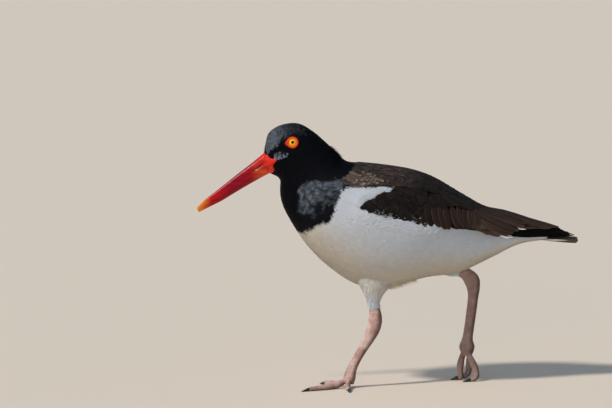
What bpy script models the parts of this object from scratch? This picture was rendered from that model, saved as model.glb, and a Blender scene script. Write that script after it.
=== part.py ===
"""American oystercatcher, walking with its head held low: a still model at life size.

The bird faces -X, its left side is toward -Y and +Z is up. The origin is on the floor, under the
middle of the bird's box. Every size below is in millimetres, and a mesh is made in metres.

The body is one loft through named sections. It is parted across its sections into head, neck and
torso, and its wings, legs and eyes are set on the same loft.
"""

import math
import random

import bmesh
import bpy
from mathutils import Vector

MM = 0.001
GAP = 0.3
BODY_SIDES = 32
SMALL_TURN = 0.02

# Each body section: lower x and z, upper x and z, half width, and how far up it is widest.
BODY = {
    "bill_base": (-111.9, 207.5, -116.8, 227.0, 6.4, 0.50),
    "lores": (-108.1, 206.0, -115.1, 235.8, 9.6, 0.50),
    "forehead": (-104.7, 204.2, -111.8, 245.9, 13.0, 0.52),
    "brow": (-102.6, 202.0, -104.0, 252.0, 16.0, 0.54),
    "crown": (-101.7, 199.7, -92.9, 255.1, 18.4, 0.55),
    "hind_crown": (-101.9, 195.8, -81.4, 254.3, 19.6, 0.54),
    "nape": (-102.2, 191.0, -69.1, 246.9, 20.4, 0.52),
    "upper_neck": (-101.8, 184.2, -57.8, 236.7, 21.6, 0.50),
    "mid_neck": (-99.7, 175.4, -47.5, 226.5, 24.0, 0.50),
    "lower_neck": (-95.2, 165.6, -38.1, 217.6, 28.5, 0.50),
    "shoulder": (-87.8, 152.4, -26.7, 215.5, 35.5, 0.52),
    "breast": (-75.8, 134.7, -12.3, 213.6, 42.0, 0.54),
    "keel": (-56.2, 114.8, 4.9, 210.9, 46.0, 0.55),
    "belly": (-29.7, 97.6, 25.0, 206.2, 48.0, 0.55),
    "flank": (0.9, 94.4, 45.9, 197.7, 47.0, 0.54),
    "vent": (34.7, 103.2, 68.6, 184.5, 41.0, 0.52),
    "rump": (66.6, 107.2, 93.2, 170.3, 31.0, 0.50),
    "tail_base": (97.7, 120.2, 115.9, 159.1, 20.5, 0.50),
    "coverts": (124.8, 132.7, 136.8, 150.8, 13.5, 0.45),
    "tail_root": (150.9, 136.9, 154.9, 142.0, 12.0, 0.50),
}
PLACE = {name: number for number, name in enumerate(BODY)}

# The folded wings' outer surface: the body's sections made wider by the first number and higher by
# the second, and then sections of their own, because behind the rump the wings stand clear.
WING_LIFT = {
    "mid_neck": (2.0, 0.5),
    "lower_neck": (2.0, 0.5),
    "shoulder": (2.0, 0.5),
    "breast": (2.5, 0.5),
    "keel": (3.0, 0.5),
    "belly": (3.0, 1.0),
    "flank": (3.0, 1.5),
    "vent": (3.5, 2.0),
}
WING_REAR = {
    "rump": (64.0, 106.0, 94.0, 172.6, 37.0, 0.52),
    "tail_base": (92.0, 112.0, 117.5, 166.0, 30.0, 0.50),
    "coverts": (115.0, 113.0, 138.0, 158.5, 23.5, 0.50),
    "tail_root": (142.0, 121.0, 156.0, 152.5, 18.0, 0.50),
    "wing_tip": (175.0, 133.5, 179.0, 144.0, 11.5, 0.50),
    "beyond": (204.0, 130.0, 204.5, 139.0, 7.0, 0.50),
}
WING_FIRST = PLACE["mid_neck"]

# The wing's bed, a shallow hollow in the torso's side that the folded wing fills.
BED_DEPTH = 4.5
BED_LOWER = (97.0, 107.0)
BED_UPPER = (150.0, 172.0)
BED_FRONT = (11.3, 12.3)

# Where the body is parted, counted in sections.
NECK_CUT = 6.6
TORSO_CUT = 9.5
TAIL_CUT = 18.0
CUT_HALF_GAP = 0.5 * GAP
CUTTER_START = TORSO_CUT - 1.5
CUTTER_END = TAIL_CUT + 1.0

BLACK = (0.012, 0.013, 0.016)
BROWN = (0.060, 0.042, 0.032)
WHITE = (0.82, 0.83, 0.85)
CORAL = (0.72, 0.07, 0.03)
YELLOW = (0.90, 0.55, 0.03)
ORANGE = (0.85, 0.14, 0.02)
FLESH = (0.62, 0.42, 0.38)
HORN = (0.03, 0.028, 0.03)


def clear_scene():
    for old in list(bpy.data.objects):
        bpy.data.objects.remove(old, do_unlink=True)


def new_collection(name):
    collection = bpy.data.collections.new(name)
    bpy.context.scene.collection.children.link(collection)
    return collection


def new_material(name, colour, roughness, metallic=0.0):
    material = bpy.data.materials.new(name)
    material.use_nodes = True
    shader = material.node_tree.nodes["Principled BSDF"]
    shader.inputs["Base Color"].default_value = (*colour, 1.0)
    shader.inputs["Roughness"].default_value = roughness
    shader.inputs["Metallic"].default_value = metallic
    return material


def smoothstep(low, high, value):
    share = min(max((value - low) / (high - low), 0.0), 1.0)
    return share * share * (3.0 - 2.0 * share)


def mixed(first, second, share):
    return first + (second - first) * share


# Sections and the surfaces through them

def curve_value(values, place):
    """A smooth curve through evenly numbered values (Catmull-Rom)."""
    last = len(values) - 1
    place = min(max(place, 0.0), float(last))
    index = min(int(place), last - 1)
    t = place - index
    before = values[max(index - 1, 0)]
    here = values[index]
    after = values[index + 1]
    beyond = values[min(index + 2, last)]
    slope_here = 0.5 * (after - before)
    slope_after = 0.5 * (beyond - here)
    t2 = t * t
    t3 = t2 * t
    return (
        here * (2 * t3 - 3 * t2 + 1)
        + slope_here * (t3 - 2 * t2 + t)
        + after * (3 * t2 - 2 * t3)
        + slope_after * (t3 - t2)
    )


def section_at(sections, place):
    return [curve_value(column, place) for column in zip(*sections)]


def section_point(section, angle, grow=0.0):
    """A point of a section. The angle is 0 at the bottom, half a turn at the top, + to the left."""
    lower_x, lower_z, upper_x, upper_z, half_width, widest = section
    up = Vector((upper_x - lower_x, 0.0, upper_z - lower_z))
    height = up.length
    up /= height
    share = 0.5 * (1.0 - math.cos(angle)) + (widest - 0.5) * math.sin(angle) ** 2
    rise = mixed(-grow, height + grow, share)
    point = Vector((lower_x, 0.0, lower_z)) + up * rise
    point.y = -(half_width + grow) * math.sin(angle)
    return point


def bed_depth(place, angle):
    """How far the wing's bed lies under the body's own loft."""
    turned = math.degrees(angle) % 360.0
    turned = min(turned, 360.0 - turned)
    across = smoothstep(*BED_LOWER, turned)
    across *= 1.0 - smoothstep(*BED_UPPER, turned)
    return BED_DEPTH * across * smoothstep(*BED_FRONT, place)


def body_point(place, angle, grow=0.0):
    section = section_at(list(BODY.values()), place)
    return section_point(section, angle, grow - bed_depth(place, angle))


def wing_sections():
    sections = []
    for name, (wider, higher) in WING_LIFT.items():
        lower_x, lower_z, upper_x, upper_z, half_width, widest = BODY[name]
        up = Vector((upper_x - lower_x, 0.0, upper_z - lower_z)).normalized()
        sections.append(
            (
                lower_x - up.x * wider,
                lower_z - up.z * wider,
                upper_x + up.x * higher,
                upper_z + up.z * higher,
                half_width + wider,
                widest,
            )
        )
    return sections + list(WING_REAR.values())


WING = wing_sections()


def wing_point(place, angle, height=0.0):
    """A point on the left wing's outer surface, or that height in millimetres above it."""
    section = section_at(WING, place - WING_FIRST)
    return section_point(section, angle, height)


# Meshes

def finished_mesh(name, bm):
    bmesh.ops.recalc_face_normals(bm, faces=bm.faces)
    mesh = bpy.data.meshes.new(name)
    bm.to_mesh(mesh)
    bm.free()
    return mesh


def new_object(name, mesh, collection, material=None):
    obj = bpy.data.objects.new(name, mesh)
    collection.objects.link(obj)
    if material:
        mesh.materials.append(material)
    return obj


def loft(name, rings):
    """A closed mesh through rings of as many points each, with a flat cap at each end.

    The triangles of a ring's second half mirror those of its first half, so both sides of the body,
    and both faces of a thin vane, are split alike.
    """
    bm = bmesh.new()
    rows = [[bm.verts.new(point * MM) for point in ring] for ring in rings]
    sides = len(rings[0])
    for first, second in zip(rows, rows[1:]):
        for i in range(sides):
            j = (i + 1) % sides
            if 2 * i < sides:
                bm.faces.new((first[i], first[j], second[j]))
                bm.faces.new((first[i], second[j], second[i]))
            else:
                bm.faces.new((first[i], first[j], second[i]))
                bm.faces.new((first[j], second[j], second[i]))
    bm.faces.new(rows[0])
    bm.faces.new(rows[-1])
    return finished_mesh(name, bm)


def shade(mesh, angle=40.0):
    mesh.shade_smooth()
    mesh.set_sharp_from_angle(angle=math.radians(angle))


def evaluated_mesh(obj):
    graph = bpy.context.evaluated_depsgraph_get()
    return bpy.data.meshes.new_from_object(obj.evaluated_get(graph))


def apply_modifiers(obj):
    mesh = evaluated_mesh(obj)
    obj.modifiers.clear()
    obj.data = mesh


def joined(obj, pieces):
    """Fuse a collection of closed pieces with an object, then remove the pieces."""
    union = obj.modifiers.new("Fused", "BOOLEAN")
    union.operation = "UNION"
    union.operand_type = "COLLECTION"
    union.collection = pieces
    union.solver = "EXACT"
    apply_modifiers(obj)
    for piece in list(pieces.objects):
        bpy.data.objects.remove(piece, do_unlink=True)


def cut_by(obj, cutter):
    """Cut an object by another and remove the cutter."""
    cut = obj.modifiers.new("Cut", "BOOLEAN")
    cut.operation = "DIFFERENCE"
    cut.object = cutter
    cut.solver = "EXACT"
    apply_modifiers(obj)
    bpy.data.objects.remove(cutter, do_unlink=True)


def keep_largest(obj):
    """Leave only the largest closed surface of an object's mesh."""
    bm = bmesh.new()
    bm.from_mesh(obj.data)
    bmesh.ops.remove_doubles(bm, verts=bm.verts, dist=0.002 * MM)
    left = set(bm.faces)
    shells = []
    while left:
        shell = set()
        queue = [left.pop()]
        while queue:
            face = queue.pop()
            shell.add(face)
            for edge in face.edges:
                for other in edge.link_faces:
                    if other in left:
                        left.remove(other)
                        queue.append(other)
        shells.append(shell)
    shells.sort(key=lambda shell: sum(face.calc_area() for face in shell))
    spare = [face for shell in shells[:-1] for face in shell]
    bmesh.ops.delete(bm, geom=spare, context="FACES")
    bm.to_mesh(obj.data)
    bm.free()


def mirrored(obj, name, collection):
    """The same piece on the bird's other side."""
    bm = bmesh.new()
    bm.from_mesh(obj.data)
    for vert in bm.verts:
        vert.co.y = -vert.co.y
    bmesh.ops.reverse_faces(bm, faces=bm.faces)
    mesh = bpy.data.meshes.new(name)
    bm.to_mesh(mesh)
    bm.free()
    return new_object(name, mesh, collection, obj.data.materials[0])


# Head, neck and torso

def body_rings(start, end, step=0.5, grow=0.0):
    count = max(2, round((end - start) / step))
    rings = []
    for row in range(count + 1):
        place = mixed(start, end, row / count)
        angles = [math.tau * side / BODY_SIDES for side in range(BODY_SIDES)]
        rings.append([body_point(place, angle, grow) for angle in angles])
    return rings


def place_beside(place, distance):
    """The section that lies a distance in millimetres behind another along the body's middle."""
    step = 0.01
    here = body_point(place, 0.5 * math.pi)
    there = body_point(place + step, 0.5 * math.pi)
    return place + step * distance / (there - here).length


def build_body(collection, black, white):
    first_neck = place_beside(NECK_CUT, CUT_HALF_GAP)
    last_head = place_beside(NECK_CUT, -CUT_HALF_GAP)
    first_torso = place_beside(TORSO_CUT, CUT_HALF_GAP)
    last_neck = place_beside(TORSO_CUT, -CUT_HALF_GAP)
    last_torso = place_beside(TAIL_CUT, -CUT_HALF_GAP)
    pieces = {
        "head": (0.0, last_head, black),
        "neck": (first_neck, last_neck, black),
        "torso": (first_torso, last_torso, white),
    }
    made = {}
    for name, (start, end, material) in pieces.items():
        mesh = loft(name, body_rings(start, end))
        shade(mesh)
        made[name] = new_object(name, mesh, collection, material)
    return made


def torso_cutter(collection):
    """The torso and a little of its neighbours, larger by the gap."""
    rings = body_rings(CUTTER_START, CUTTER_END, grow=GAP)
    return new_object("torso_cutter", loft("torso_cutter", rings), collection)


# Eyes and lids

EYE_PLACE = 4.80
EYE_ANGLE = 111.5
EYE_LEAN = 0.10
EYE_RADIUS = 5.0
EYE_SINK = 3.4
LID_OUTER = 5.8
LID_INNER = 3.75
LID_RISE = 4.5
LID_FLOOR = 1.4
LID_STEPS = 24


def eye_matrix():
    """The left eye's frame: its Z axis points out of the head, square to the skin."""
    angle = math.radians(EYE_ANGLE)
    here = body_point(EYE_PLACE, angle)
    along = body_point(EYE_PLACE + SMALL_TURN, angle) - here
    around = body_point(EYE_PLACE, angle + SMALL_TURN) - here
    normal = along.cross(around).normalized()
    if normal.y > 0.0:
        normal = -normal
    normal = (normal + Vector((-EYE_LEAN, 0.0, 0.0))).normalized()
    centre = here - normal * EYE_SINK
    matrix = normal.to_track_quat("Z", "Y").to_matrix().to_4x4()
    matrix.translation = centre * MM
    return matrix


def turned(name, profile, steps, closed):
    """A profile of radius and height turned about Z by a Screw modifier, in millimetres."""
    bm = bmesh.new()
    verts = [bm.verts.new((radius * MM, 0.0, height * MM)) for radius, height in profile]
    for first, second in zip(verts, verts[1:]):
        bm.edges.new((first, second))
    if closed:
        bm.edges.new((verts[-1], verts[0]))
    mesh = bpy.data.meshes.new(name)
    bm.to_mesh(mesh)
    bm.free()
    obj = bpy.data.objects.new(name, mesh)
    bpy.context.scene.collection.objects.link(obj)
    screw = obj.modifiers.new("Turned", "SCREW")
    screw.steps = steps
    screw.render_steps = steps
    screw.use_merge_vertices = True
    screw.merge_threshold = 0.000001
    apply_modifiers(obj)
    result = obj.data
    bpy.data.objects.remove(obj, do_unlink=True)
    bm = bmesh.new()
    bm.from_mesh(result)
    bmesh.ops.remove_doubles(bm, verts=bm.verts, dist=0.001 * MM)
    bmesh.ops.recalc_face_normals(bm, faces=bm.faces)
    bm.to_mesh(result)
    bm.free()
    return result


def arc(radius, start, end, steps):
    """Points of an arc about the origin: radius from the axis, and height."""
    points = []
    for step in range(steps + 1):
        angle = math.radians(mixed(start, end, step / steps))
        points.append((radius * math.cos(angle), radius * math.sin(angle)))
    return points


def build_eye(head, collection, cutters, yellow, orange):
    matrix = eye_matrix()
    bore = EYE_RADIUS + GAP
    inner_top = math.degrees(math.acos(LID_INNER / bore))
    inner_foot = math.degrees(math.asin(LID_FLOOR / bore))
    ball = turned("eye_left", arc(EYE_RADIUS, -90.0, 90.0, 10), LID_STEPS, False)
    ring = arc(bore, inner_foot, inner_top, 3)
    ring += [(LID_INNER + 0.5, LID_RISE), (LID_OUTER - 0.5, LID_RISE - 0.2)]
    ring += [(LID_OUTER, LID_RISE - 0.9), (LID_OUTER, LID_FLOOR)]
    lid = turned("lid_left", ring, LID_STEPS, True)
    socket_foot = math.degrees(math.asin((LID_FLOOR - GAP) / bore))
    wall = LID_OUTER + GAP
    pit = arc(bore, -90.0, socket_foot, 6) + [(wall, LID_FLOOR - GAP), (wall, 12.0), (0.0, 12.0)]
    socket = turned("socket", pit, LID_STEPS, False)
    for mesh in (ball, lid, socket):
        mesh.transform(matrix)
    shade(ball)
    shade(lid)
    eye = new_object("eye_left", ball, collection, yellow)
    lid_left = new_object("lid_left", lid, collection, orange)
    mirrored(eye, "eye_right", collection)
    mirrored(lid_left, "lid_right", collection)
    left = new_object("socket_left", socket, cutters, orange)
    right = mirrored(left, "socket_right", cutters)
    cut_by(head, left)
    cut_by(head, right)
    keep_largest(head)


# Bill

# Each bill section: lower x and z, upper x and z, half width, how far up it is widest and the mouth.
BILL = {
    "base": (-112.1, 207.4, -117.0, 227.0, 6.2, 0.42, 0.40),
    "nostril": (-121.2, 202.8, -127.4, 218.7, 5.2, 0.40, 0.36),
    "groove": (-133.4, 196.3, -139.6, 209.7, 4.2, 0.42, 0.34),
    "middle": (-145.9, 189.3, -151.9, 200.4, 3.5, 0.44, 0.33),
    "blade": (-158.2, 182.2, -163.6, 191.6, 2.9, 0.46, 0.35),
    "point": (-170.7, 176.3, -174.6, 183.4, 2.1, 0.48, 0.40),
    "tip": (-180.6, 171.6, -182.6, 175.6, 1.1, 0.50, 0.46),
}
BILL_STEP = 0.5
BILL_SIDES = 12
BILL_HALF_GAP = 0.5 * GAP
NOSTRIL = (Vector((-117.6, 0.0, 220.0)), Vector((-125.4, 0.0, 213.4)))
NOSTRIL_HALF_HEIGHT = 0.75
NOSTRIL_DEPTH = 1.3
NOSTRIL_PLACE = 0.65
NOSTRIL_ANGLE = 100.0
BILL_START = 0.015


def bill_ring(place, upper):
    *section, mouth = section_at(list(BILL.values()), place)
    lower_x, lower_z, upper_x, upper_z = section[:4]
    height = math.hypot(upper_x - lower_x, upper_z - lower_z)
    offset = BILL_HALF_GAP / height
    share = mouth + (offset if upper else -offset)
    low = 0.0
    high = math.pi
    for _ in range(30):
        angle = 0.5 * (low + high)
        widest = section[5]
        reached = 0.5 * (1.0 - math.cos(angle)) + (widest - 0.5) * math.sin(angle) ** 2
        if reached < share:
            low = angle
        else:
            high = angle
    edge = 0.5 * (low + high)
    start = edge if upper else -edge
    end = math.tau - edge if upper else edge
    ring = []
    for side in range(BILL_SIDES + 1):
        ring.append(section_point(section, mixed(start, end, side / BILL_SIDES)))
    return ring


def build_bill(collection, coral):
    count = round((len(BILL) - 1) / BILL_STEP)
    for name, upper in (("bill_upper", True), ("bill_lower", False)):
        rings = []
        for row in range(count + 1):
            rings.append(bill_ring(mixed(BILL_START, len(BILL) - 1.0, row / count), upper))
        mesh = loft(name, rings)
        shade(mesh)
        bill = new_object(name, mesh, collection, coral)
        if upper:
            for side in (-1.0, 1.0):
                cut_by(bill, nostril_cutter(side, collection))
            keep_largest(bill)


def nostril_cutter(side, collection):
    """A long slit with round ends, set into one side of the upper bill."""
    back, front = NOSTRIL
    middle = 0.5 * (back + front)
    along = front - back
    bm = bmesh.new()
    bmesh.ops.create_uvsphere(bm, u_segments=12, v_segments=6, radius=1.0)
    section = section_at(list(BILL.values()), NOSTRIL_PLACE)[:6]
    face = section_point(section, math.radians(NOSTRIL_ANGLE)).y
    slope = math.atan2(-along.z, along.x)
    for vert in bm.verts:
        x = vert.co.x * 0.5 * along.length
        z = vert.co.z * NOSTRIL_HALF_HEIGHT
        y = vert.co.y * NOSTRIL_DEPTH + face
        turned_x = x * math.cos(slope) + z * math.sin(slope)
        turned_z = -x * math.sin(slope) + z * math.cos(slope)
        vert.co = Vector((middle.x + turned_x, -side * y, middle.z + turned_z)) * MM
    return new_object("nostril", finished_mesh("nostril", bm), collection)


# Limbs

def last_direction(stations):
    return (Vector(stations[-1][:3]) - Vector(stations[-2][:3])).normalized()


def limb_rings(stations, sides, grow=0.0, first_along=None):
    """Rings square to a bent path. A station is x, y, z, half depth and half width."""
    points = [Vector(station[:3]) for station in stations]
    rings = []
    for index, station in enumerate(stations):
        before = points[max(index - 1, 0)]
        after = points[min(index + 1, len(points) - 1)]
        along = (after - before).normalized()
        if index == 0 and first_along:
            along = first_along
        side = Vector((0.0, 1.0, 0.0))
        side = (side - along * side.dot(along)).normalized()
        if abs(along.y) > 0.8:
            side = along.cross(Vector((0.0, 0.0, 1.0))).normalized()
        front = side.cross(along)
        centre = points[index]
        if index == 0:
            centre = centre - along * grow
        if index == len(points) - 1:
            centre = centre + along * grow
        half_depth = station[3] + grow
        half_width = station[4] + grow
        ring = []
        for number in range(sides):
            angle = math.tau * (number + 0.5) / sides
            ring.append(
                centre + front * half_depth * math.cos(angle) + side * half_width * math.sin(angle)
            )
        rings.append(ring)
    return rings


def limb(name, stations, sides, grow=0.0, first_along=None):
    """A closed bent tube of flesh or horn whose lowest points lie flat on the floor."""
    rings = limb_rings(stations, sides, grow, first_along)
    for ring in rings:
        for point in ring:
            point.z = max(point.z, 0.0)
    return loft(name, rings)


LEG_SIDES = 12
SHANK_TOP = (4.8, 4.4)
THIGH_LEFT = (
    (-16.0, -19.0, 124.0, 16.0, 12.0),
    (-15.6, -19.5, 110.0, 15.0, 12.0),
    (-15.2, -19.5, 98.0, 11.5, 10.5),
    (-15.2, -19.0, 88.0, 8.0, 7.8),
    (-15.4, -18.6, 81.0, 5.5, 5.3),
)
SHANK_LEFT = (
    (-14.4, -18.4, 75.0, 5.4, 4.5),
    (-13.9, -18.2, 69.5, 6.2, 5.1),
    (-14.4, -18.0, 63.5, 6.8, 5.4),
    (-16.1, -17.8, 56.5, 6.5, 5.1),
    (-20.1, -17.6, 48.5, 5.6, 4.5),
    (-26.3, -17.2, 38.5, 4.7, 3.9),
    (-32.6, -16.7, 28.0, 4.3, 3.8),
    (-37.6, -16.3, 18.5, 4.9, 4.6),
    (-40.2, -16.0, 9.5, 5.8, 6.0),
    (-41.2, -16.0, 4.0, 4.9, 5.2),
)
THIGH_RIGHT = (
    (38.0, 21.0, 131.0, 15.0, 12.0),
    (48.0, 21.0, 120.0, 14.5, 12.0),
    (59.5, 20.6, 109.6, 9.0, 9.0),
    (66.5, 20.3, 106.6, 6.2, 6.2),
)
SHANK_RIGHT = (
    (74.6, 19.8, 102.6, 6.2, 5.0),
    (80.0, 19.3, 96.4, 7.6, 5.4),
    (81.5, 18.8, 88.4, 6.3, 5.1),
    (81.0, 18.4, 80.0, 5.1, 4.4),
    (79.0, 17.6, 66.0, 4.9, 4.1),
    (76.4, 16.6, 50.5, 4.8, 4.1),
    (74.6, 15.8, 40.0, 5.2, 4.6),
    (73.9, 15.3, 33.0, 7.5, 6.2),
    (74.0, 15.0, 28.0, 6.4, 6.0),
    (74.2, 14.8, 24.0, 4.4, 4.8),
)
TOE_SIDES = 8
TOES_LEFT = {
    "inner": (
        (-42.4, -13.0, 7.0, 2.2, 1.8),
        (-47.2, -9.4, 4.4, 2.9, 2.2),
        (-52.4, -5.0, 2.6, 2.7, 2.5),
        (-58.0, 0.8, 2.4, 2.7, 2.5),
        (-63.4, 7.0, 1.9, 2.1, 1.9),
    ),
    "middle": (
        (-44.0, -17.4, 7.0, 2.3, 1.8),
        (-49.6, -20.6, 4.4, 3.0, 2.3),
        (-57.0, -24.2, 2.7, 2.9, 2.7),
        (-67.0, -28.6, 2.5, 2.8, 2.6),
        (-79.0, -33.4, 1.9, 2.1, 1.9),
    ),
    "outer": (
        (-41.0, -19.0, 7.0, 2.2, 1.8),
        (-41.6, -24.4, 4.6, 2.9, 2.3),
        (-42.4, -29.5, 2.7, 2.8, 2.6),
        (-42.2, -36.5, 2.4, 2.7, 2.5),
        (-41.2, -43.8, 1.9, 2.1, 1.9),
    ),
}
TOES_RIGHT = {
    "inner": (
        (74.6, 11.2, 27.0, 2.4, 1.9),
        (77.6, 7.4, 20.6, 3.2, 2.4),
        (80.8, 5.4, 13.0, 3.3, 2.7),
        (82.0, 4.4, 6.4, 3.1, 2.7),
        (80.4, 3.6, 2.9, 2.6, 2.5),
        (76.6, 2.6, 1.9, 2.1, 1.9),
    ),
    "middle": (
        (70.4, 15.0, 26.6, 2.5, 1.9),
        (68.0, 15.2, 19.2, 3.3, 2.4),
        (66.8, 15.6, 11.8, 3.2, 2.7),
        (67.0, 16.2, 6.0, 3.0, 2.7),
        (67.4, 16.5, 3.2, 2.6, 2.5),
        (65.0, 16.9, 1.9, 2.1, 2.0),
    ),
    "outer": (
        (75.4, 18.8, 27.0, 2.4, 1.9),
        (76.2, 22.4, 20.4, 3.2, 2.4),
        (75.8, 24.8, 12.6, 3.2, 2.6),
        (74.8, 26.8, 6.0, 3.0, 2.6),
        (72.6, 28.2, 2.9, 2.6, 2.4),
        (68.8, 29.4, 1.9, 2.1, 1.9),
    ),
}
CLAW_LENGTH = 8.0
CLAW_HALF_DEPTH = 1.7
CLAW_HALF_WIDTH = 1.4
CLAW_SIZES = ((0.0, 1.0), (0.35, 0.86), (0.7, 0.6), (1.0, 0.22))
CLAW_REST = 0.75
CLAW_LOWEST = 0.3


def claw_stations(toe):
    """A blunt claw that goes on from a toe's end, along the floor."""
    end = Vector(toe[-1][:3])
    before = Vector(toe[-2][:3])
    along = (end - before).normalized()
    flat = Vector((along.x, along.y, 0.0)).normalized()
    stations = []
    for share, size in CLAW_SIZES:
        point = end + along * GAP + flat * CLAW_LENGTH * share
        point.z = max(CLAW_REST * CLAW_HALF_DEPTH * size, CLAW_LOWEST)
        if share == 0.0:
            point.z = end.z + along.z * GAP
        stations.append((*point, CLAW_HALF_DEPTH * size, CLAW_HALF_WIDTH * size))
    return stations


def build_leg(side, thigh, shank, toes, collection, cutters, white, flesh, horn):
    thigh_name = f"thigh_{side}"
    upper = new_object(thigh_name, limb(thigh_name, thigh, LEG_SIDES), collection, white)
    cut_by(upper, torso_cutter(cutters))
    keep_largest(upper)
    shade(upper.data)
    shank_name = f"shank_{side}"
    down = last_direction(thigh)
    top = Vector(thigh[-1][:3]) + down * GAP
    mesh = limb(shank_name, ((*top, *SHANK_TOP), *shank), LEG_SIDES, first_along=down)
    shade(mesh)
    new_object(shank_name, mesh, collection, flesh)
    for toe_name, stations in toes.items():
        name = f"toe_{side}_{toe_name}"
        toe = new_object(name, limb(name, stations, TOE_SIDES), collection, flesh)
        cutter = new_object("shank_cutter", limb("shank_cutter", shank[-4:], LEG_SIDES, GAP), cutters)
        cut_by(toe, cutter)
        keep_largest(toe)
        shade(toe.data)
        claw_name = f"claw_{side}_{toe_name}"
        forward = last_direction(stations)
        claw = limb(claw_name, claw_stations(stations), TOE_SIDES, first_along=forward)
        shade(claw)
        new_object(claw_name, claw, collection, horn)


# Wings

# A place on the wing is a section number and an angle in degrees: about 104 along the wing's lower
# edge, 180 over the bird's spine. Heights are millimetres above the wing's outer surface.
CORE_ROWS = 14
CORE_COLUMNS = 7
CORE_START = 11.7
CORE_END = 16.7
CORE_SINK = 2.0
CORE_LOWER = ((11.7, 104.0), (13.0, 103.0), (16.7, 107.0))
CORE_UPPER = (
    (11.7, 110.0),
    (12.4, 131.0),
    (13.2, 146.0),
    (14.0, 157.0),
    (15.0, 169.0),
    (15.8, 174.0),
    (16.7, 174.0),
)
CORE_HEIGHT = ((11.7, -0.8), (12.4, -0.3), (13.2, -1.4), (14.0, -3.6), (15.0, -5.6), (16.7, -6.2))
VANE_THICKNESS = 0.55
VANE_GAP = 0.35
VANE_STEPS = (0.0, 0.2, 0.42, 0.64, 0.82, 0.93, 1.0)
VANE_WIDTHS = (0.42, 0.72, 0.96, 1.0, 0.86, 0.58, 0.16)
RISE_END = 0.4
ROOT_STEP = 0.6
UNEVEN = 0.02


class Tier:
    """A row of overlapping feathers, from the wing's lower edge up toward the spine.

    Roots and tips are places of the lowest, the middle and the highest feather. The roots lie sunk
    in the core at one height, and the tips at another. Each feather's lower edge is lifted over
    the feather below it by the tilt, or each lies a step under the one before.
    """

    def __init__(self, count, roots, tips, width, sunk, height, tilt=0.0, step=0.0, across=2):
        self.count = count
        self.roots = roots
        self.tips = tips
        self.width = width
        self.sunk = sunk
        self.height = height
        self.tilt = tilt
        self.step = step
        self.across = across


TIERS = {
    "median_covert": Tier(
        6,
        roots=((12.1, 110.0), (12.5, 127.0), (13.4, 146.0)),
        tips=((13.1, 107.0), (13.6, 128.0), (14.2, 152.0)),
        width=11.0,
        sunk=-2.6,
        height=0.8,
        tilt=1.7,
    ),
    "greater_covert": Tier(
        7,
        roots=((12.8, 110.0), (13.3, 127.0), (13.9, 147.0)),
        tips=((14.4, 108.0), (14.8, 126.0), (14.9, 148.0)),
        width=11.0,
        sunk=-4.2,
        height=-1.7,
        tilt=1.8,
    ),
    "secondary": Tier(
        4,
        roots=((14.0, 111.0), (14.4, 124.0), (14.7, 140.0)),
        tips=((15.5, 108.0), (16.0, 117.0), (16.4, 133.0)),
        width=11.0,
        sunk=-5.6,
        height=-4.2,
        tilt=1.7,
    ),
    "tertial": Tier(
        4,
        roots=((14.9, 146.0), (14.8, 155.0), (14.7, 163.5)),
        tips=((17.3, 114.0), (18.5, 136.0), (19.5, 154.0)),
        width=15.4,
        sunk=-6.0,
        height=-0.7,
        tilt=1.6,
        across=3,
    ),
    "primary": Tier(
        5,
        roots=((16.1, 128.0), (16.1, 118.0), (16.1, 108.0)),
        tips=((18.7, 142.0), (19.4, 137.0), (20.1, 134.0)),
        width=9.0,
        sunk=-7.2,
        height=-0.5,
        step=0.9,
        across=3,
    ),
}


def read_off(pairs, value):
    """The value of a broken line, given as pairs, at a place."""
    for (first, low), (second, high) in zip(pairs, pairs[1:]):
        if value <= second:
            return mixed(low, high, max(value - first, 0.0) / (second - first))
    return pairs[-1][1]


def wing_core():
    """The wing's flesh and small feathers: a slab from inside the torso out to the core's height."""
    rings = []
    for row in range(CORE_ROWS + 1):
        place = mixed(CORE_START, CORE_END, row / CORE_ROWS)
        low = read_off(CORE_LOWER, place)
        high = read_off(CORE_UPPER, place)
        height = read_off(CORE_HEIGHT, place)
        outer = []
        inner = []
        for column in range(CORE_COLUMNS + 1):
            angle = math.radians(mixed(low, high, column / CORE_COLUMNS))
            outer.append(wing_point(place, angle, height))
            inner.append(body_point(place, angle, -CORE_SINK))
        rings.append(outer + inner[::-1])
    return loft("wing_left", rings)


def wing_radius(place, angle, height):
    """Millimetres travelled across the wing for each radian."""
    ahead = wing_point(place, angle + SMALL_TURN, height)
    return (ahead - wing_point(place, angle - SMALL_TURN, height)).length / (2.0 * SMALL_TURN)


def wing_vane(name, root, tip, tier, order, size):
    """One feather, a tapered plate that lies along the wing's surface."""
    rings = []
    step_down = tier.step * order
    for share, width in zip(VANE_STEPS, VANE_WIDTHS):
        place = mixed(root[0], tip[0], share)
        angle = math.radians(mixed(root[1], tip[1], share))
        risen = smoothstep(0.0, RISE_END, share)
        middle = mixed(tier.sunk - ROOT_STEP * step_down, tier.height - step_down, risen)
        half_turn = 0.5 * tier.width * size * width / wing_radius(place, angle, middle)
        outer = []
        inner = []
        for column in range(tier.across):
            across = mixed(-1.0, 1.0, column / (tier.across - 1))
            turned_angle = angle + across * half_turn
            height = middle - 0.5 * tier.tilt * across * width * risen
            outer.append(wing_point(place, turned_angle, height + 0.5 * VANE_THICKNESS))
            inner.append(wing_point(place, turned_angle, height - 0.5 * VANE_THICKNESS))
        rings.append(outer + inner[::-1])
    return loft(name, rings)


def add_tier(name, tier, pieces, rng):
    for order in range(tier.count):
        share = 2.0 * order / (tier.count - 1)
        root = [curve_value(column, share) for column in zip(*tier.roots)]
        tip = [curve_value(column, share) for column in zip(*tier.tips)]
        size = 1.0 + rng.uniform(-UNEVEN, UNEVEN)
        tip[0] += rng.uniform(-UNEVEN, UNEVEN)
        new_object(f"{name}_{order}", wing_vane(name, root, tip, tier, order, size), pieces)


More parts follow.
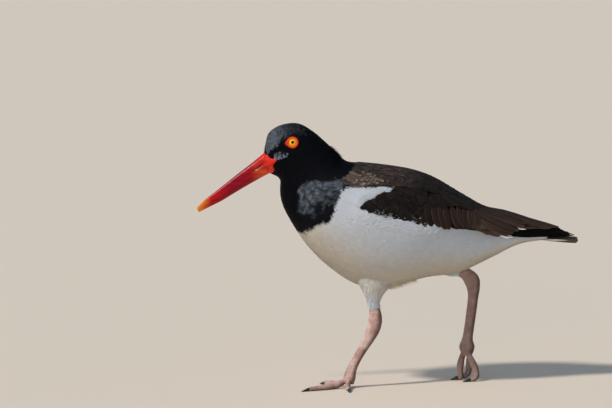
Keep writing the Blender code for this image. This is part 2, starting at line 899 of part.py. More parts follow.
def build_wings(collection, cutters, brown, rng):
    wing = new_object("wing_left", wing_core(), collection, brown)
    pieces = new_collection("wing_feathers")
    for name, tier in TIERS.items():
        add_tier(name, tier, pieces, rng)
    joined(wing, pieces)
    cut_by(wing, torso_cutter(cutters))
    keep_largest(wing)
    shade(wing.data)
    mirrored(wing, "wing_right", collection)
    bpy.data.collections.remove(pieces)


# Tail

TAIL_CORE = {
    "coverts": (124.8, 132.7, 136.8, 150.8, 13.5, 0.45),
    "root": (147.0, 135.6, 149.0, 141.4, 13.0, 0.50),
    "end": (160.0, 135.6, 160.6, 139.4, 11.0, 0.50),
}
TAIL_SIDES = 16
TAIL_ROWS = 5
TAIL_PAIRS = 6
TAIL_VANE_ROOT = Vector((143.0, 0.0, 140.6))
TAIL_VANE_TIP = Vector((183.0, 0.0, 138.6))
TAIL_VANE_WIDTH = 11.0
TAIL_VANE_THICKNESS = 0.5
TAIL_MIDDLE_OFFSET = 1.4
TAIL_ROOT_SPREAD = 1.3
TAIL_TIP_SPREAD = 2.9
TAIL_LAYER = 0.8
TAIL_ROOT_LAYER = 0.55
TAIL_SHORTER = 0.8
TAIL_SPREAD_END = 0.6
TAIL_CORE_START = 0.02
SEED = 7


def tail_rings():
    sections = list(TAIL_CORE.values())
    rings = []
    for row in range(TAIL_ROWS + 1):
        place = mixed(TAIL_CORE_START, len(sections) - 1.0, row / TAIL_ROWS)
        section = section_at(sections, place)
        angles = [math.tau * side / TAIL_SIDES for side in range(TAIL_SIDES)]
        rings.append([section_point(section, angle) for angle in angles])
    return rings


def tail_vane(name, order, side):
    """A tail feather. The middle two lie on top, one over the other, and each next pair under."""
    half_width = 0.5 * TAIL_VANE_WIDTH
    if order == 0:
        root_y = 0.5 * TAIL_MIDDLE_OFFSET
        tip_y = TAIL_MIDDLE_OFFSET
        layer = 0 if side < 0.0 else 1
    else:
        root_y = half_width * VANE_WIDTHS[0] + 0.5 * VANE_GAP + TAIL_ROOT_SPREAD * (order - 1)
        tip_y = half_width + 0.5 * VANE_GAP + TAIL_TIP_SPREAD * (order - 1)
        layer = order + 1
    rings = []
    for share, width in zip(VANE_STEPS, VANE_WIDTHS):
        x = mixed(TAIL_VANE_ROOT.x, TAIL_VANE_TIP.x - TAIL_SHORTER * order, share)
        z = mixed(TAIL_VANE_ROOT.z, TAIL_VANE_TIP.z, share)
        z -= layer * mixed(TAIL_ROOT_LAYER, TAIL_LAYER, smoothstep(0.0, RISE_END, share))
        y = mixed(root_y, tip_y, smoothstep(0.0, TAIL_SPREAD_END, share))
        ring = []
        for across, up in ((-1.0, 0.5), (1.0, 0.5), (1.0, -0.5), (-1.0, -0.5)):
            edge_y = side * (y + across * half_width * width)
            ring.append(Vector((x, edge_y, z + up * TAIL_VANE_THICKNESS)))
        rings.append(ring)
    return loft(name, rings)


def build_tail(collection, brown):
    tail = new_object("tail", loft("tail", tail_rings()), collection, brown)
    pieces = new_collection("tail_feathers")
    for side in (-1.0, 1.0):
        for order in range(TAIL_PAIRS):
            name = f"tail_vane_{order}"
            new_object(name, tail_vane(name, order, side), pieces)
    joined(tail, pieces)
    keep_largest(tail)
    shade(tail.data)
    bpy.data.collections.remove(pieces)


def main():
    clear_scene()
    rng = random.Random(SEED)
    collection = new_collection("oystercatcher")
    cutters = new_collection("cutters")
    black = new_material("black_feathers", BLACK, 0.6)
    brown = new_material("brown_feathers", BROWN, 0.65)
    white = new_material("white_feathers", WHITE, 0.75)
    coral = new_material("coral_bill", CORAL, 0.3)
    yellow = new_material("yellow_eye", YELLOW, 0.1)
    orange = new_material("orange_lid", ORANGE, 0.4)
    flesh = new_material("pink_skin", FLESH, 0.5)
    horn = new_material("black_claw", HORN, 0.35)
    body = build_body(collection, black, white)
    build_eye(body["head"], collection, cutters, yellow, orange)
    build_bill(collection, coral)
    build_leg("left", THIGH_LEFT, SHANK_LEFT, TOES_LEFT, collection, cutters, white, flesh, horn)
    build_leg("right", THIGH_RIGHT, SHANK_RIGHT, TOES_RIGHT, collection, cutters, white, flesh, horn)
    build_wings(collection, cutters, brown, rng)
    build_tail(collection, brown)


main()
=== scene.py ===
"""How the walking oystercatcher looks: plumage, bill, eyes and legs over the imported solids.

The bird faces -X and its left side is toward -Y. Sizes are in millimetres and meshes in metres.
A place on the plumage is a section number, counted from the bill to the tail, and an angle: 0 along
the belly, 180 degrees along the back, + on the left side.
"""

import math

import bmesh
import bpy
import numpy as np
from mathutils import Matrix, Vector, noise
from mathutils.kdtree import KDTree


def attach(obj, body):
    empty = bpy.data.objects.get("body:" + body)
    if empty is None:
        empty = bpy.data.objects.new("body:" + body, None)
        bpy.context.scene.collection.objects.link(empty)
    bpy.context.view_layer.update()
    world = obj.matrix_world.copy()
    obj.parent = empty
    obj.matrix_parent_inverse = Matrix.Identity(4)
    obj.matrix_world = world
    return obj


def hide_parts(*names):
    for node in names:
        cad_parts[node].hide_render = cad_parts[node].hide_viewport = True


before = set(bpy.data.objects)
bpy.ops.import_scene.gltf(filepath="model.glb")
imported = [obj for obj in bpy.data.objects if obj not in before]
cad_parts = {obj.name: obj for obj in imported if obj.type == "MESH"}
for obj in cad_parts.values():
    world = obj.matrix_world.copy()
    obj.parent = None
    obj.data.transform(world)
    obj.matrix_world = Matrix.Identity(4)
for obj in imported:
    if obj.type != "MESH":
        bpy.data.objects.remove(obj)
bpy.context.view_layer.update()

MM = 0.001
STEP = 0.02  # how far on, in sections or radians, a surface's slope is measured
SEED = 20
SIDES = (("left", 1.0), ("right", -1.0))  # each side, and the sign of its angles

# Each body section: lower x and z, upper x and z, half width, and how far up it is widest.
BODY = {
    "bill_base": (-111.9, 207.5, -116.8, 227.0, 6.4, 0.50),
    "lores": (-108.1, 206.0, -115.1, 235.8, 9.6, 0.50),
    "forehead": (-104.7, 204.2, -111.8, 245.9, 13.0, 0.52),
    "brow": (-102.6, 202.0, -104.0, 252.0, 16.0, 0.54),
    "crown": (-101.7, 199.7, -92.9, 255.1, 18.4, 0.55),
    "hind_crown": (-101.9, 195.8, -81.4, 254.3, 19.6, 0.54),
    "nape": (-102.2, 191.0, -69.1, 246.9, 20.4, 0.52),
    "upper_neck": (-101.8, 184.2, -57.8, 236.7, 21.6, 0.50),
    "mid_neck": (-99.7, 175.4, -47.5, 226.5, 24.0, 0.50),
    "lower_neck": (-95.2, 165.6, -38.1, 217.6, 28.5, 0.50),
    "shoulder": (-87.8, 152.4, -26.7, 215.5, 35.5, 0.52),
    "breast": (-75.8, 134.7, -12.3, 213.6, 42.0, 0.54),
    "keel": (-56.2, 114.8, 4.9, 210.9, 46.0, 0.55),
    "belly": (-29.7, 97.6, 25.0, 206.2, 48.0, 0.55),
    "flank": (0.9, 94.4, 45.9, 197.7, 47.0, 0.54),
    "vent": (34.7, 103.2, 68.6, 184.5, 41.0, 0.52),
    "rump": (66.6, 107.2, 93.2, 170.3, 31.0, 0.50),
    "tail_base": (97.7, 120.2, 115.9, 159.1, 20.5, 0.50),
    "coverts": (124.8, 132.7, 136.8, 150.8, 13.5, 0.45),
    "tail_root": (150.9, 136.9, 154.9, 142.0, 12.0, 0.50),
}

# The folded wings' surface: body sections made wider and higher, then sections of their own.
WING_LIFT = {
    "mid_neck": (2.0, 0.5),
    "lower_neck": (2.0, 0.5),
    "shoulder": (2.0, 0.5),
    "breast": (2.5, 0.5),
    "keel": (3.0, 0.5),
    "belly": (3.0, 1.0),
    "flank": (3.0, 1.5),
    "vent": (3.5, 2.0),
}
WING_REAR = {
    "rump": (64.0, 106.0, 94.0, 172.6, 37.0, 0.52),
    "tail_base": (92.0, 112.0, 117.5, 166.0, 30.0, 0.50),
    "coverts": (115.0, 113.0, 138.0, 158.5, 23.5, 0.50),
    "tail_root": (142.0, 121.0, 156.0, 152.5, 18.0, 0.50),
    "wing_tip": (175.0, 133.5, 179.0, 144.0, 11.5, 0.50),
    "beyond": (204.0, 130.0, 204.5, 139.0, 7.0, 0.50),
}

# Limb stations: x, y, z, half depth and half width, from the top down.
THIGH_LEFT = (
    (-13.5, -14.0, 111.0, 24.0, 15.0),
    (-13.8, -15.6, 105.0, 18.5, 12.8),
    (-14.3, -18.0, 98.6, 14.6, 10.8),
    (-14.8, -18.8, 94.0, 11.4, 9.2),
    (-15.2, -18.9, 89.5, 8.8, 7.9),
    (-15.4, -18.7, 84.5, 6.6, 6.1),
    (-15.3, -18.6, 80.0, 5.6, 5.0),
    (-14.4, -18.4, 75.0, 5.6, 4.7),
)
SHANK_LEFT = (
    (-15.2, -18.6, 84.0, 4.4, 4.2),
    (-15.2, -18.5, 80.0, 5.0, 4.4),
    (-14.4, -18.4, 75.0, 5.4, 4.5),
    (-13.9, -18.2, 69.5, 6.2, 5.1),
    (-14.4, -18.0, 63.5, 6.8, 5.4),
    (-16.1, -17.8, 56.5, 6.5, 5.1),
    (-20.1, -17.6, 48.5, 5.6, 4.5),
    (-26.3, -17.2, 38.5, 4.7, 3.9),
    (-32.6, -16.7, 28.0, 4.3, 3.8),
    (-37.6, -16.3, 18.5, 4.9, 4.6),
    (-40.2, -16.0, 9.5, 5.8, 6.0),
    (-41.2, -16.0, 4.0, 4.9, 5.2),
)
THIGH_RIGHT = (
    (38.0, 21.0, 131.0, 15.0, 12.0),
    (48.0, 21.0, 120.0, 14.5, 12.0),
    (59.5, 20.6, 109.6, 9.0, 9.0),
    (66.5, 20.3, 106.6, 6.2, 6.2),
    (71.5, 20.0, 104.6, 6.0, 5.0),
)
SHANK_RIGHT = (
    (63.0, 20.4, 107.8, 4.6, 4.2),
    (67.0, 20.3, 106.4, 5.0, 4.5),
    (74.6, 19.8, 102.6, 6.2, 5.0),
    (80.0, 19.3, 96.4, 7.6, 5.4),
    (81.5, 18.8, 88.4, 6.3, 5.1),
    (81.0, 18.4, 80.0, 5.1, 4.4),
    (79.0, 17.6, 66.0, 4.9, 4.1),
    (76.4, 16.6, 50.5, 4.8, 4.1),
    (74.6, 15.8, 40.0, 5.2, 4.6),
    (73.9, 15.3, 33.0, 7.5, 6.2),
    (74.0, 15.0, 28.0, 6.4, 6.0),
    (74.2, 14.8, 24.0, 4.4, 4.8),
)
TOES_LEFT = {
    "inner": (
        (-42.4, -13.0, 7.0, 2.2, 1.8),
        (-47.2, -9.4, 4.4, 2.9, 2.2),
        (-52.4, -5.0, 2.6, 2.7, 2.5),
        (-58.0, 0.8, 2.4, 2.7, 2.5),
        (-63.4, 7.0, 1.9, 2.1, 1.9),
    ),
    "middle": (
        (-44.0, -17.4, 7.0, 2.3, 1.8),
        (-49.6, -20.6, 4.4, 3.0, 2.3),
        (-57.0, -24.2, 2.7, 2.9, 2.7),
        (-67.0, -28.6, 2.5, 2.8, 2.6),
        (-79.0, -33.4, 1.9, 2.1, 1.9),
    ),
    "outer": (
        (-41.0, -19.0, 7.0, 2.2, 1.8),
        (-41.6, -24.4, 4.6, 2.9, 2.3),
        (-42.4, -29.5, 2.7, 2.8, 2.6),
        (-42.2, -36.5, 2.4, 2.7, 2.5),
        (-41.2, -43.8, 1.9, 2.1, 1.9),
    ),
}
TOES_RIGHT = {
    "inner": (
        (74.6, 11.2, 27.0, 2.4, 1.9),
        (77.6, 7.4, 20.6, 3.2, 2.4),
        (80.8, 5.4, 13.0, 3.3, 2.7),
        (82.0, 4.4, 6.4, 3.1, 2.7),
        (80.4, 3.6, 2.9, 2.6, 2.5),
        (76.6, 2.6, 1.9, 2.1, 1.9),
    ),
    "middle": (
        (70.4, 15.0, 26.6, 2.5, 1.9),
        (68.0, 15.2, 19.2, 3.3, 2.4),
        (66.8, 15.6, 11.8, 3.2, 2.7),
        (67.0, 16.2, 6.0, 3.0, 2.7),
        (67.4, 16.5, 3.2, 2.6, 2.5),
        (65.0, 16.9, 1.9, 2.1, 2.0),
    ),
    "outer": (
        (75.4, 18.8, 27.0, 2.4, 1.9),
        (76.2, 22.4, 20.4, 3.2, 2.4),
        (75.8, 24.8, 12.6, 3.2, 2.6),
        (74.8, 26.8, 6.0, 3.0, 2.6),
        (72.6, 28.2, 2.9, 2.6, 2.4),
        (68.8, 29.4, 1.9, 2.1, 1.9),
    ),
}

# Each bill section: lower x and z, upper x and z, half width, how far up it is widest, the mouth.
BILL = (
    (-112.1, 207.4, -117.0, 227.0, 6.2, 0.42, 0.40),
    (-121.2, 202.8, -127.4, 218.7, 5.2, 0.40, 0.36),
    (-133.4, 196.3, -139.6, 209.7, 4.2, 0.42, 0.34),
    (-145.9, 189.3, -151.9, 200.4, 3.5, 0.44, 0.33),
    (-158.2, 182.2, -163.6, 191.6, 2.9, 0.46, 0.35),
    (-170.7, 176.3, -174.6, 183.4, 2.1, 0.48, 0.40),
    (-180.6, 171.6, -182.6, 175.6, 1.1, 0.50, 0.46),
)

# Colours, linear.
BLACK = (0.0022, 0.0025, 0.0048)
# painted sheen: the grey gloss of sunlit black feathers, painted into their colour
HOOD_SHEEN = (0.170, 0.200, 0.245)
SOOT = (0.0064, 0.0048, 0.0046)
BROWN = (0.031, 0.0220, 0.0200)
TAN = (0.23, 0.175, 0.135)
WHITE = (0.80, 0.85, 0.92)
# painted warm bounce light, on the shaded underside of the belly and the thighs
WARM_BOUNCE = (0.80, 0.70, 0.55)


# Sums on arrays

def mixed(first, second, share):
    return first + (second - first) * share


def dot(first, second):
    return (first * second).sum(-1)


def unit(vectors):
    return vectors / np.linalg.norm(vectors, axis=-1, keepdims=True)


def smoothstep(low, high, value):
    share = np.clip((np.asarray(value, float) - low) / (high - low), 0.0, 1.0)
    return share * share * (3.0 - 2.0 * share)


def curves(table, places):
    """Smooth curves (Catmull-Rom) through a table's evenly numbered rows, at many places."""
    table = np.asarray(table, float)
    last = len(table) - 1
    places = np.clip(places, 0.0, last)
    index = np.minimum(places.astype(int), last - 1)
    t = (places - index)[..., None]
    before = table[np.maximum(index - 1, 0)]
    here = table[index]
    after = table[index + 1]
    beyond = table[np.minimum(index + 2, last)]
    slope_here = 0.5 * (after - before)
    slope_after = 0.5 * (beyond - here)
    t2 = t * t
    t3 = t2 * t
    return (
        here * (2.0 * t3 - 3.0 * t2 + 1.0)
        + slope_here * (t3 - 2.0 * t2 + t)
        + after * (3.0 * t2 - 2.0 * t3)
        + slope_after * (t3 - t2)
    )


def raised(angles, widest):
    """How far up its section a point lies, from 0 to 1."""
    return 0.5 * (1.0 - np.cos(angles)) + (widest - 0.5) * np.sin(angles) ** 2


def section_points(sections, angles, grow):
    """Points of sections at angles in radians, grown outward by millimetres."""
    lower_x, lower_z, upper_x, upper_z, half_width, widest = np.moveaxis(sections[..., :6], -1, 0)
    up_x = upper_x - lower_x
    up_z = upper_z - lower_z
    height = np.hypot(up_x, up_z)
    rise = (height + 2.0 * grow) * raised(angles, widest) - grow
    x = lower_x + up_x / height * rise
    y = -(half_width + grow) * np.sin(angles)
    z = lower_z + up_z / height * rise
    return np.stack([x, y, z], -1)


BODY_TABLE = np.array(list(BODY.values()))


def body_points(places, angles, grow=0.0):
    return section_points(curves(BODY_TABLE, places), angles, grow)


def wing_table():
    rows = []
    for name, (wider, higher) in WING_LIFT.items():
        lower_x, lower_z, upper_x, upper_z, half_width, widest = BODY[name]
        up = Vector((upper_x - lower_x, 0.0, upper_z - lower_z)).normalized()
        lower = Vector((lower_x, 0.0, lower_z)) - up * wider
        upper = Vector((upper_x, 0.0, upper_z)) + up * higher
        rows.append((lower.x, lower.z, upper.x, upper.z, half_width + wider, widest))
    return np.array(rows + list(WING_REAR.values()))


WING_TABLE = wing_table()
WING_FIRST = list(BODY).index("mid_neck")


def wing_points(places, angles, grow=0.0):
    return section_points(curves(WING_TABLE, places - WING_FIRST), angles, grow)


LYING = 0.8  # a limb that runs this much sideways takes its width from its upright


def limb_surface(stations):
    """The surface round a bent limb, as a function of the station's number and an angle."""

    def points(places, angles, grow=0.0):
        rows = curves(stations, places)
        within = np.clip(places, STEP, len(stations) - 1.0 - STEP)
        ahead = curves(stations, within + STEP)[..., :3]
        behind = curves(stations, within - STEP)[..., :3]
        along = unit(ahead - behind)
        aside = np.array((0.0, 1.0, 0.0)) - along * along[..., 1:2]
        upright = np.cross(along, (0.0, 0.0, 1.0))
        side = unit(np.where(np.abs(along[..., 1:2]) > LYING, upright, aside))
        front = np.cross(side, along)
        grow = np.asarray(grow)[..., None] if np.ndim(grow) else grow
        depth = rows[..., 3:4] + grow
        width = rows[..., 4:5] + grow
        angles = angles[..., None]
        return rows[..., :3] + front * depth * np.cos(angles) - side * width * np.sin(angles)

    return points


def tangents(surface, places, angles):
    """How a surface runs on in a section along, and in a radian across."""
    along = surface(places + STEP, angles) - surface(places - STEP, angles)
    across = surface(places, angles + STEP) - surface(places, angles - STEP)
    return along / (2.0 * STEP), across / (2.0 * STEP)


def spans(surface, places, angles):
    """Millimetres travelled for each section along, and for each radian across."""
    along, across = tangents(surface, places, angles)
    along = np.linalg.norm(along, axis=-1)
    across = np.linalg.norm(across, axis=-1)
    return np.maximum(along, 1.0), np.maximum(across, 1.0)


def inside(outline, places, degrees):
    """Whether places lie inside a closed outline of section numbers and degrees."""
    hit = np.zeros(np.shape(places), bool)
    for (place_a, degree_a), (place_b, degree_b) in zip(outline, outline[1:] + outline[:1]):
        if degree_a == degree_b:
            continue
        between = (degree_a > degrees) != (degree_b > degrees)
        cross = place_a + (degrees - degree_a) * (place_b - place_a) / (degree_b - degree_a)
        hit ^= between & (places < cross)
    return hit


def broken_line(pairs, values):
    return np.interp(values, [pair[0] for pair in pairs], [pair[1] for pair in pairs])


# Markings, in section numbers and degrees

# The section at which black ends, by degrees: on the bib, and from HOOD_FROM up on the hood.
BIB_EDGE = (
    (0.0, 10.12),
    (21.0, 10.21),
    (45.5, 10.43),
    (58.5, 10.56),
    (67.5, 10.80),
    (79.5, 10.72),
    (91.0, 10.53),
    (102.5, 10.39),
    (110.5, 10.29),
    (119.0, 10.47),
)
HOOD_FROM = 118.0
HOOD_EDGE = ((119.0, 10.3), (129.0, 9.76), (140.5, 9.98), (153.0, 9.98), (178.0, 9.36))
# The degrees above which brown begins, by section, and the section where brown ends.
WEDGE_TOP = ((9.0, 117.0), (10.3, 117.0), (11.0, 121.5), (11.8, 127.5), (12.2, 131.0), (13.0, 120.0))
RUMP_WHITE = 16.3
# The section at which the first feathers grow behind the bill, by degrees.
BILL_EDGE = (
    (0.0, 0.25),
    (24.0, 0.27),
    (45.5, 1.66),
    (64.0, 1.43),
    (73.0, 2.93),
    (84.0, 1.7),
    (95.0, 1.17),
    (130.0, 0.45),
    (163.0, 0.2),
    (180.0, 0.15),
)
# Outlines of the painted sheen on the black hood (side of the neck, forehead and cheek), and of the
# faded parts.
NECK_SHEEN = [
    (7.74, 66.5),
    (7.56, 76.0),
    (8.07, 94.5),
    (8.84, 111.0),
    (9.6, 123.0),
    (9.9, 130.0),
    (10.38, 102.5),
    (10.39, 84.0),
    (10.17, 67.5),
    (9.9, 50.0),
    (9.0, 46.0),
    (8.26, 62.0),
]
FOREHEAD_SHEEN = [
    (0.9, 112.0),
    (0.9, 181.0),
    (5.2, 181.0),
    (5.4, 140.0),
    (3.94, 122.0),
    (2.82, 104.0),
]
CHEEK_SHEEN = [(1.93, 88.0), (3.27, 90.0), (4.43, 83.0), (4.41, 76.0), (2.63, 77.0)]
FADED_PATCH = [(9.5, 122.0), (9.5, 150.0), (11.2, 154.0), (11.5, 132.0), (10.6, 119.0)]
# How strongly the belly's shaded underside is tinted with painted warm bounce light, and the degrees
# between which that fades.
BOUNCE_SHARE = 0.85
BOUNCE_EDGE = (34.0, 84.0)


def mottle_at(points, size, seed=0.0):
    """Smooth noise between 0 and 1 at points, in patches of a size in millimetres."""
    flat = np.asarray(points).reshape(-1, 3) / size + seed
    values = np.array([noise.noise(Vector(point)) for point in flat])
    return np.clip(0.5 + 0.9 * values, 0.0, 1.0).reshape(np.shape(points)[:-1])


def blend_into(colours, colour, share):
    return mixed(colours, np.array(colour), np.asarray(share, float)[..., None])


def sheen_share(places, degrees, spots, rng):
    """How much painted grey sheen lies on the black, from 0 to 1: on the side of the neck, the forehead
    and the cheek.
    """
    size = np.shape(places)
    patchy = smoothstep(0.36, 0.60, mottle_at(spots, 3.0))
    broad = smoothstep(0.30, 0.60, mottle_at(spots, 9.0, 7.0))
    rear = smoothstep(8.9, 9.9, places) * (1.0 - smoothstep(96.0, 112.0, degrees))
    neck = mixed(0.24 + 0.56 * patchy, 0.45 * patchy * broad, rear)
    neck = inside(NECK_SHEEN, places, degrees) * neck * rng.uniform(0.6, 1.0, size)
    front = 1.0 - smoothstep(2.4, 4.4, places)
    forehead = inside(FOREHEAD_SHEEN, places + rng.normal(0.0, 0.25, size), degrees)
    forehead = forehead * (0.08 + 0.75 * front + 0.10 * patchy) * rng.uniform(0.6, 1.0, size)
    cheek = inside(CHEEK_SHEEN, places + rng.normal(0.0, 0.1, size), degrees)
    cheek = cheek * (0.35 + 1.15 * patchy) * rng.uniform(0.6, 1.0, size)
    return np.maximum(neck, np.maximum(forehead, cheek))


def plumage_colour(places, angles, rng, ragged=1.0):
    """The plumage's colour at places on the body, with a ragged edge between its colours."""
    size = np.shape(places)
    degrees = np.abs(np.degrees(angles))
    places = places + rng.normal(0.0, 0.05 * ragged, size)
    degrees = degrees + rng.normal(0.0, 1.6 * ragged, size)
    hood = degrees >= HOOD_FROM
    black = places < np.where(hood, broken_line(HOOD_EDGE, degrees), broken_line(BIB_EDGE, degrees))
    brown = ~black & (degrees > broken_line(WEDGE_TOP, places)) & (places < RUMP_WHITE)
    # painted warm bounce light on the belly's shaded underside
    bounce = BOUNCE_SHARE * (1.0 - smoothstep(*BOUNCE_EDGE, degrees))
    colours = blend_into(np.tile(np.array(WHITE), (*size, 1)), WARM_BOUNCE, bounce)
    colours = blend_into(colours, BROWN, brown)
    colours = blend_into(colours, BLACK, black)
    # painted sheen on the black, where sunlit black feathers gleam grey
    sheen = sheen_share(places, degrees, body_points(places, angles), rng)
    colours = blend_into(colours, HOOD_SHEEN, np.where(black, sheen, 0.0))
    faded = inside(FADED_PATCH, places, degrees) & brown
    colours = blend_into(colours, TAN, faded * rng.uniform(0.0, 0.8, size))
    on_white = 1.0 + rng.normal(0.0, 0.02, size)
    on_dark = 1.0 + rng.normal(0.0, 0.22, size)
    bright = np.clip(np.where(black | brown, on_dark, on_white), 0.4, 1.6)
    return np.clip(colours * bright[..., None], 0.0, 0.95)


# Meshes from arrays

def array_mesh(points, corners, sizes):
    mesh = bpy.data.meshes.new("part")
    mesh.vertices.add(len(points))
    mesh.vertices.foreach_set("co", (np.asarray(points) * MM).astype(np.float32).ravel())
    mesh.loops.add(len(corners))
    mesh.loops.foreach_set("vertex_index", np.asarray(corners, np.int32))
    mesh.polygons.add(len(sizes))
    starts = np.concatenate([[0], np.cumsum(sizes)[:-1]]).astype(np.int32)
    mesh.polygons.foreach_set("loop_start", starts)
    mesh.update(calc_edges=True)
    mesh.shade_smooth()
    return mesh


def add_uv(mesh, name, values):
    """A UV map from one pair for each point of the mesh."""
    layer = mesh.uv_layers.new(name=name)
    index = np.zeros(len(mesh.loops), np.int32)
    mesh.loops.foreach_get("vertex_index", index)
    layer.data.foreach_set("uv", np.asarray(values, np.float32)[index].ravel())


def add_colour(mesh, colours):
    layer = mesh.color_attributes.new(name="plumage", type="FLOAT_COLOR", domain="POINT")
    full = np.ones((len(mesh.vertices), 4), np.float32)
    full[:, :3] = colours
    layer.data.foreach_set("color", full.ravel())


def piece(name, mesh, material, slot, *nodes):
    """A finished piece of the bird, in the place of the solids that it is named for."""
    mesh.name = name
    obj = bpy.data.objects.new(name, mesh)
    bpy.context.scene.collection.objects.link(obj)
    mesh.materials.clear()
    mesh.materials.append(material)
    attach(obj, "root")
    if nodes:
        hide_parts(*nodes)


def ring_faces(rows, columns, closed=True):
    """Quads between rings of a grid, wound so that they face outward."""
    around = columns if closed else columns - 1
    row, column = np.meshgrid(np.arange(rows - 1), np.arange(around), indexing="ij")
    after = (column + 1) % columns
    here = row * columns
    quads = np.stack([here + column, here + columns + column, here + columns + after, here + after], -1)
    return quads.reshape(-1, 4)


def lofted(grid):
    """A closed mesh through rings of points, with an end point in the middle of each last ring."""
    rows, columns = grid.shape[:2]
    points = np.concatenate([grid.reshape(-1, 3), [grid[0].mean(0)], [grid[-1].mean(0)]])
    quads = ring_faces(rows, columns)
    start = rows * columns
    column = np.arange(columns)
    after = (column + 1) % columns
    first = np.stack([np.full(columns, start), column, after], -1)
    base = start - columns
    last = np.stack([np.full(columns, start + 1), base + after, base + column], -1)
    corners = np.concatenate([quads.ravel(), first.ravel(), last.ravel()])
    sizes = np.concatenate([np.full(len(quads), 4), np.full(2 * columns, 3)])
    return array_mesh(points, corners, sizes)


def grid_of(surface, places, columns, grow=0.0):
    angles = np.linspace(0.0, math.tau, columns, endpoint=False)
    place, angle = np.meshgrid(places, angles, indexing="ij")
    if np.ndim(grow):
        grow = np.tile(np.asarray(grow)[:, None], (1, columns))
    return surface(place, angle, grow)


def with_modifier(mesh, kind, **settings):
    """A mesh after one modifier, applied."""
    obj = bpy.data.objects.new("work", mesh)
    bpy.context.scene.collection.objects.link(obj)
    modifier = obj.modifiers.new("work", kind)
    for name, value in settings.items():
        setattr(modifier, name, value)
    graph = bpy.context.evaluated_depsgraph_get()
    result = bpy.data.meshes.new_from_object(obj.evaluated_get(graph))
    bpy.data.objects.remove(obj)
    return result


def faced_outward(mesh):
    bm = bmesh.new()
    bm.from_mesh(mesh)
    bmesh.ops.recalc_face_normals(bm, faces=bm.faces)
    bm.to_mesh(mesh)
    bm.free()


def remeshed(meshes, voxel, rounds):
    """One smooth closed skin over several closed meshes that run into one another."""
    bm = bmesh.new()
    for mesh in meshes:
        bm.from_mesh(mesh)
    joined = bpy.data.meshes.new("joined")
    bm.to_mesh(joined)
    bm.free()
    mesh = with_modifier(joined, "REMESH", mode="VOXEL", voxel_size=voxel * MM)
    mesh = with_modifier(mesh, "SMOOTH", factor=0.5, iterations=rounds)
    mesh.shade_smooth()
    return mesh


def mesh_points(mesh):
    points = np.zeros(len(mesh.vertices) * 3, np.float32)
    mesh.vertices.foreach_get("co", points)
    return points.reshape(-1, 3) / MM


# Materials

class Wire:
    """A shader value on which sums can be written."""

    def __init__(self, look, socket):
        self.look = look
        self.socket = socket

    def sum(self, operation, first, second):
        return self.look.math(operation, first, second)

    def __add__(self, other):
        return self.sum("ADD", self, other)

    def __radd__(self, other):
        return self.sum("ADD", other, self)

    def __sub__(self, other):
        return self.sum("SUBTRACT", self, other)

    def __rsub__(self, other):
        return self.sum("SUBTRACT", other, self)

    def __mul__(self, other):
        return self.sum("MULTIPLY", self, other)

    def __rmul__(self, other):
        return self.sum("MULTIPLY", other, self)

    def __truediv__(self, other):
        return self.sum("DIVIDE", self, other)

    def __pow__(self, other):
        return self.sum("POWER", self, other)


class Look:
    """A material with a Principled shader, and the nodes that feed it."""

    def __init__(self, name, **values):
        self.material = bpy.data.materials.new(name)
        self.material.use_nodes = True
        self.tree = self.material.node_tree
        self.shader = self.tree.nodes["Principled BSDF"]
        self.set(**values)

    def set(self, **values):
        """Set or link the shader's inputs, named in lower case with underscores."""
        for name, value in values.items():
            label = name.replace("_", " ").title().replace("Ior", "IOR")
            self.feed(self.shader.inputs[label], value)

    def feed(self, socket, value):
        if isinstance(value, Wire):
            self.tree.links.new(value.socket, socket)
        elif isinstance(value, (tuple, list)) and socket.type == "RGBA":
            socket.default_value = (*value, 1.0)[:4]
        else:
            socket.default_value = value

    def node(self, kind, settings, inputs, output=0):
        node = self.tree.nodes.new(kind)
        for name, value in settings.items():
            if name == "stops":
                ramp = node.color_ramp
                while len(ramp.elements) < len(value):
                    ramp.elements.new(0.5)
                for element, (place, colour) in zip(ramp.elements, value):
                    element.position = place
                    element.color = (*colour, 1.0)
            else:
                setattr(node, name, value)
        for name, value in inputs.items():
            self.feed(node.inputs[name], value)
        return Wire(self, node.outputs[output])

    def place(self):
        return self.node("ShaderNodeTexCoord", {}, {}, "Object")

    def uv(self, name):
        return self.node("ShaderNodeUVMap", {"uv_map": name}, {})

    def axis(self, vector, name):
        return self.node("ShaderNodeSeparateXYZ", {}, {0: vector}, name)

    def colour_of(self, name):
        return self.node("ShaderNodeAttribute", {"attribute_name": name}, {}, "Color")

    def noise(self, scale, detail=3.0, vector=None):
        vector = vector or self.place()
        return self.node("ShaderNodeTexNoise", {}, {"Vector": vector, "Scale": scale, "Detail": detail})

    def math(self, operation, *values):
        return self.node("ShaderNodeMath", {"operation": operation}, dict(enumerate(values)))

    def smooth(self, low, high, value):
        settings = {"interpolation_type": "SMOOTHSTEP"}
        return self.node("ShaderNodeMapRange", settings, {"Value": value, 1: low, 2: high})

    def blend(self, share, first, second, kind="MIX"):
        settings = {"data_type": "RGBA", "blend_type": kind}
        return self.node("ShaderNodeMix", settings, {0: share, 6: first, 7: second}, 2)

    def ramp(self, value, *stops):
        return self.node("ShaderNodeValToRGB", {"stops": stops}, {0: value})

    def tint(self, colour, shade):
        return self.blend(1.0, colour, shade, "MULTIPLY")

    def finished(self, colour, height, distance):
        """The material, with its colour and its bumps of a height in millimetres."""
        inputs = {"Height": height, "Distance": distance * MM}
        self.set(base_color=colour, normal=self.node("ShaderNodeBump", {}, inputs))
        return self.material


def down_look(name, roughness, gloss, depth, grain, glow=0.0):
    """Soft plumage: its colour is stored on the mesh, with fine streaks of light and shade."""
    look = Look(name, roughness=roughness, specular_ior_level=gloss, subsurface_weight=glow)
    look.set(subsurface_scale=0.003, subsurface_radius=(1.0, 1.0, 1.0))
    shade = look.ramp(look.noise(420.0), (0.3, (1.0 - depth,) * 3), (0.7, (1.0, 1.0, 1.0)))
    return look.finished(look.tint(look.colour_of("plumage"), shade), look.noise(1600.0, 2.0), grain)


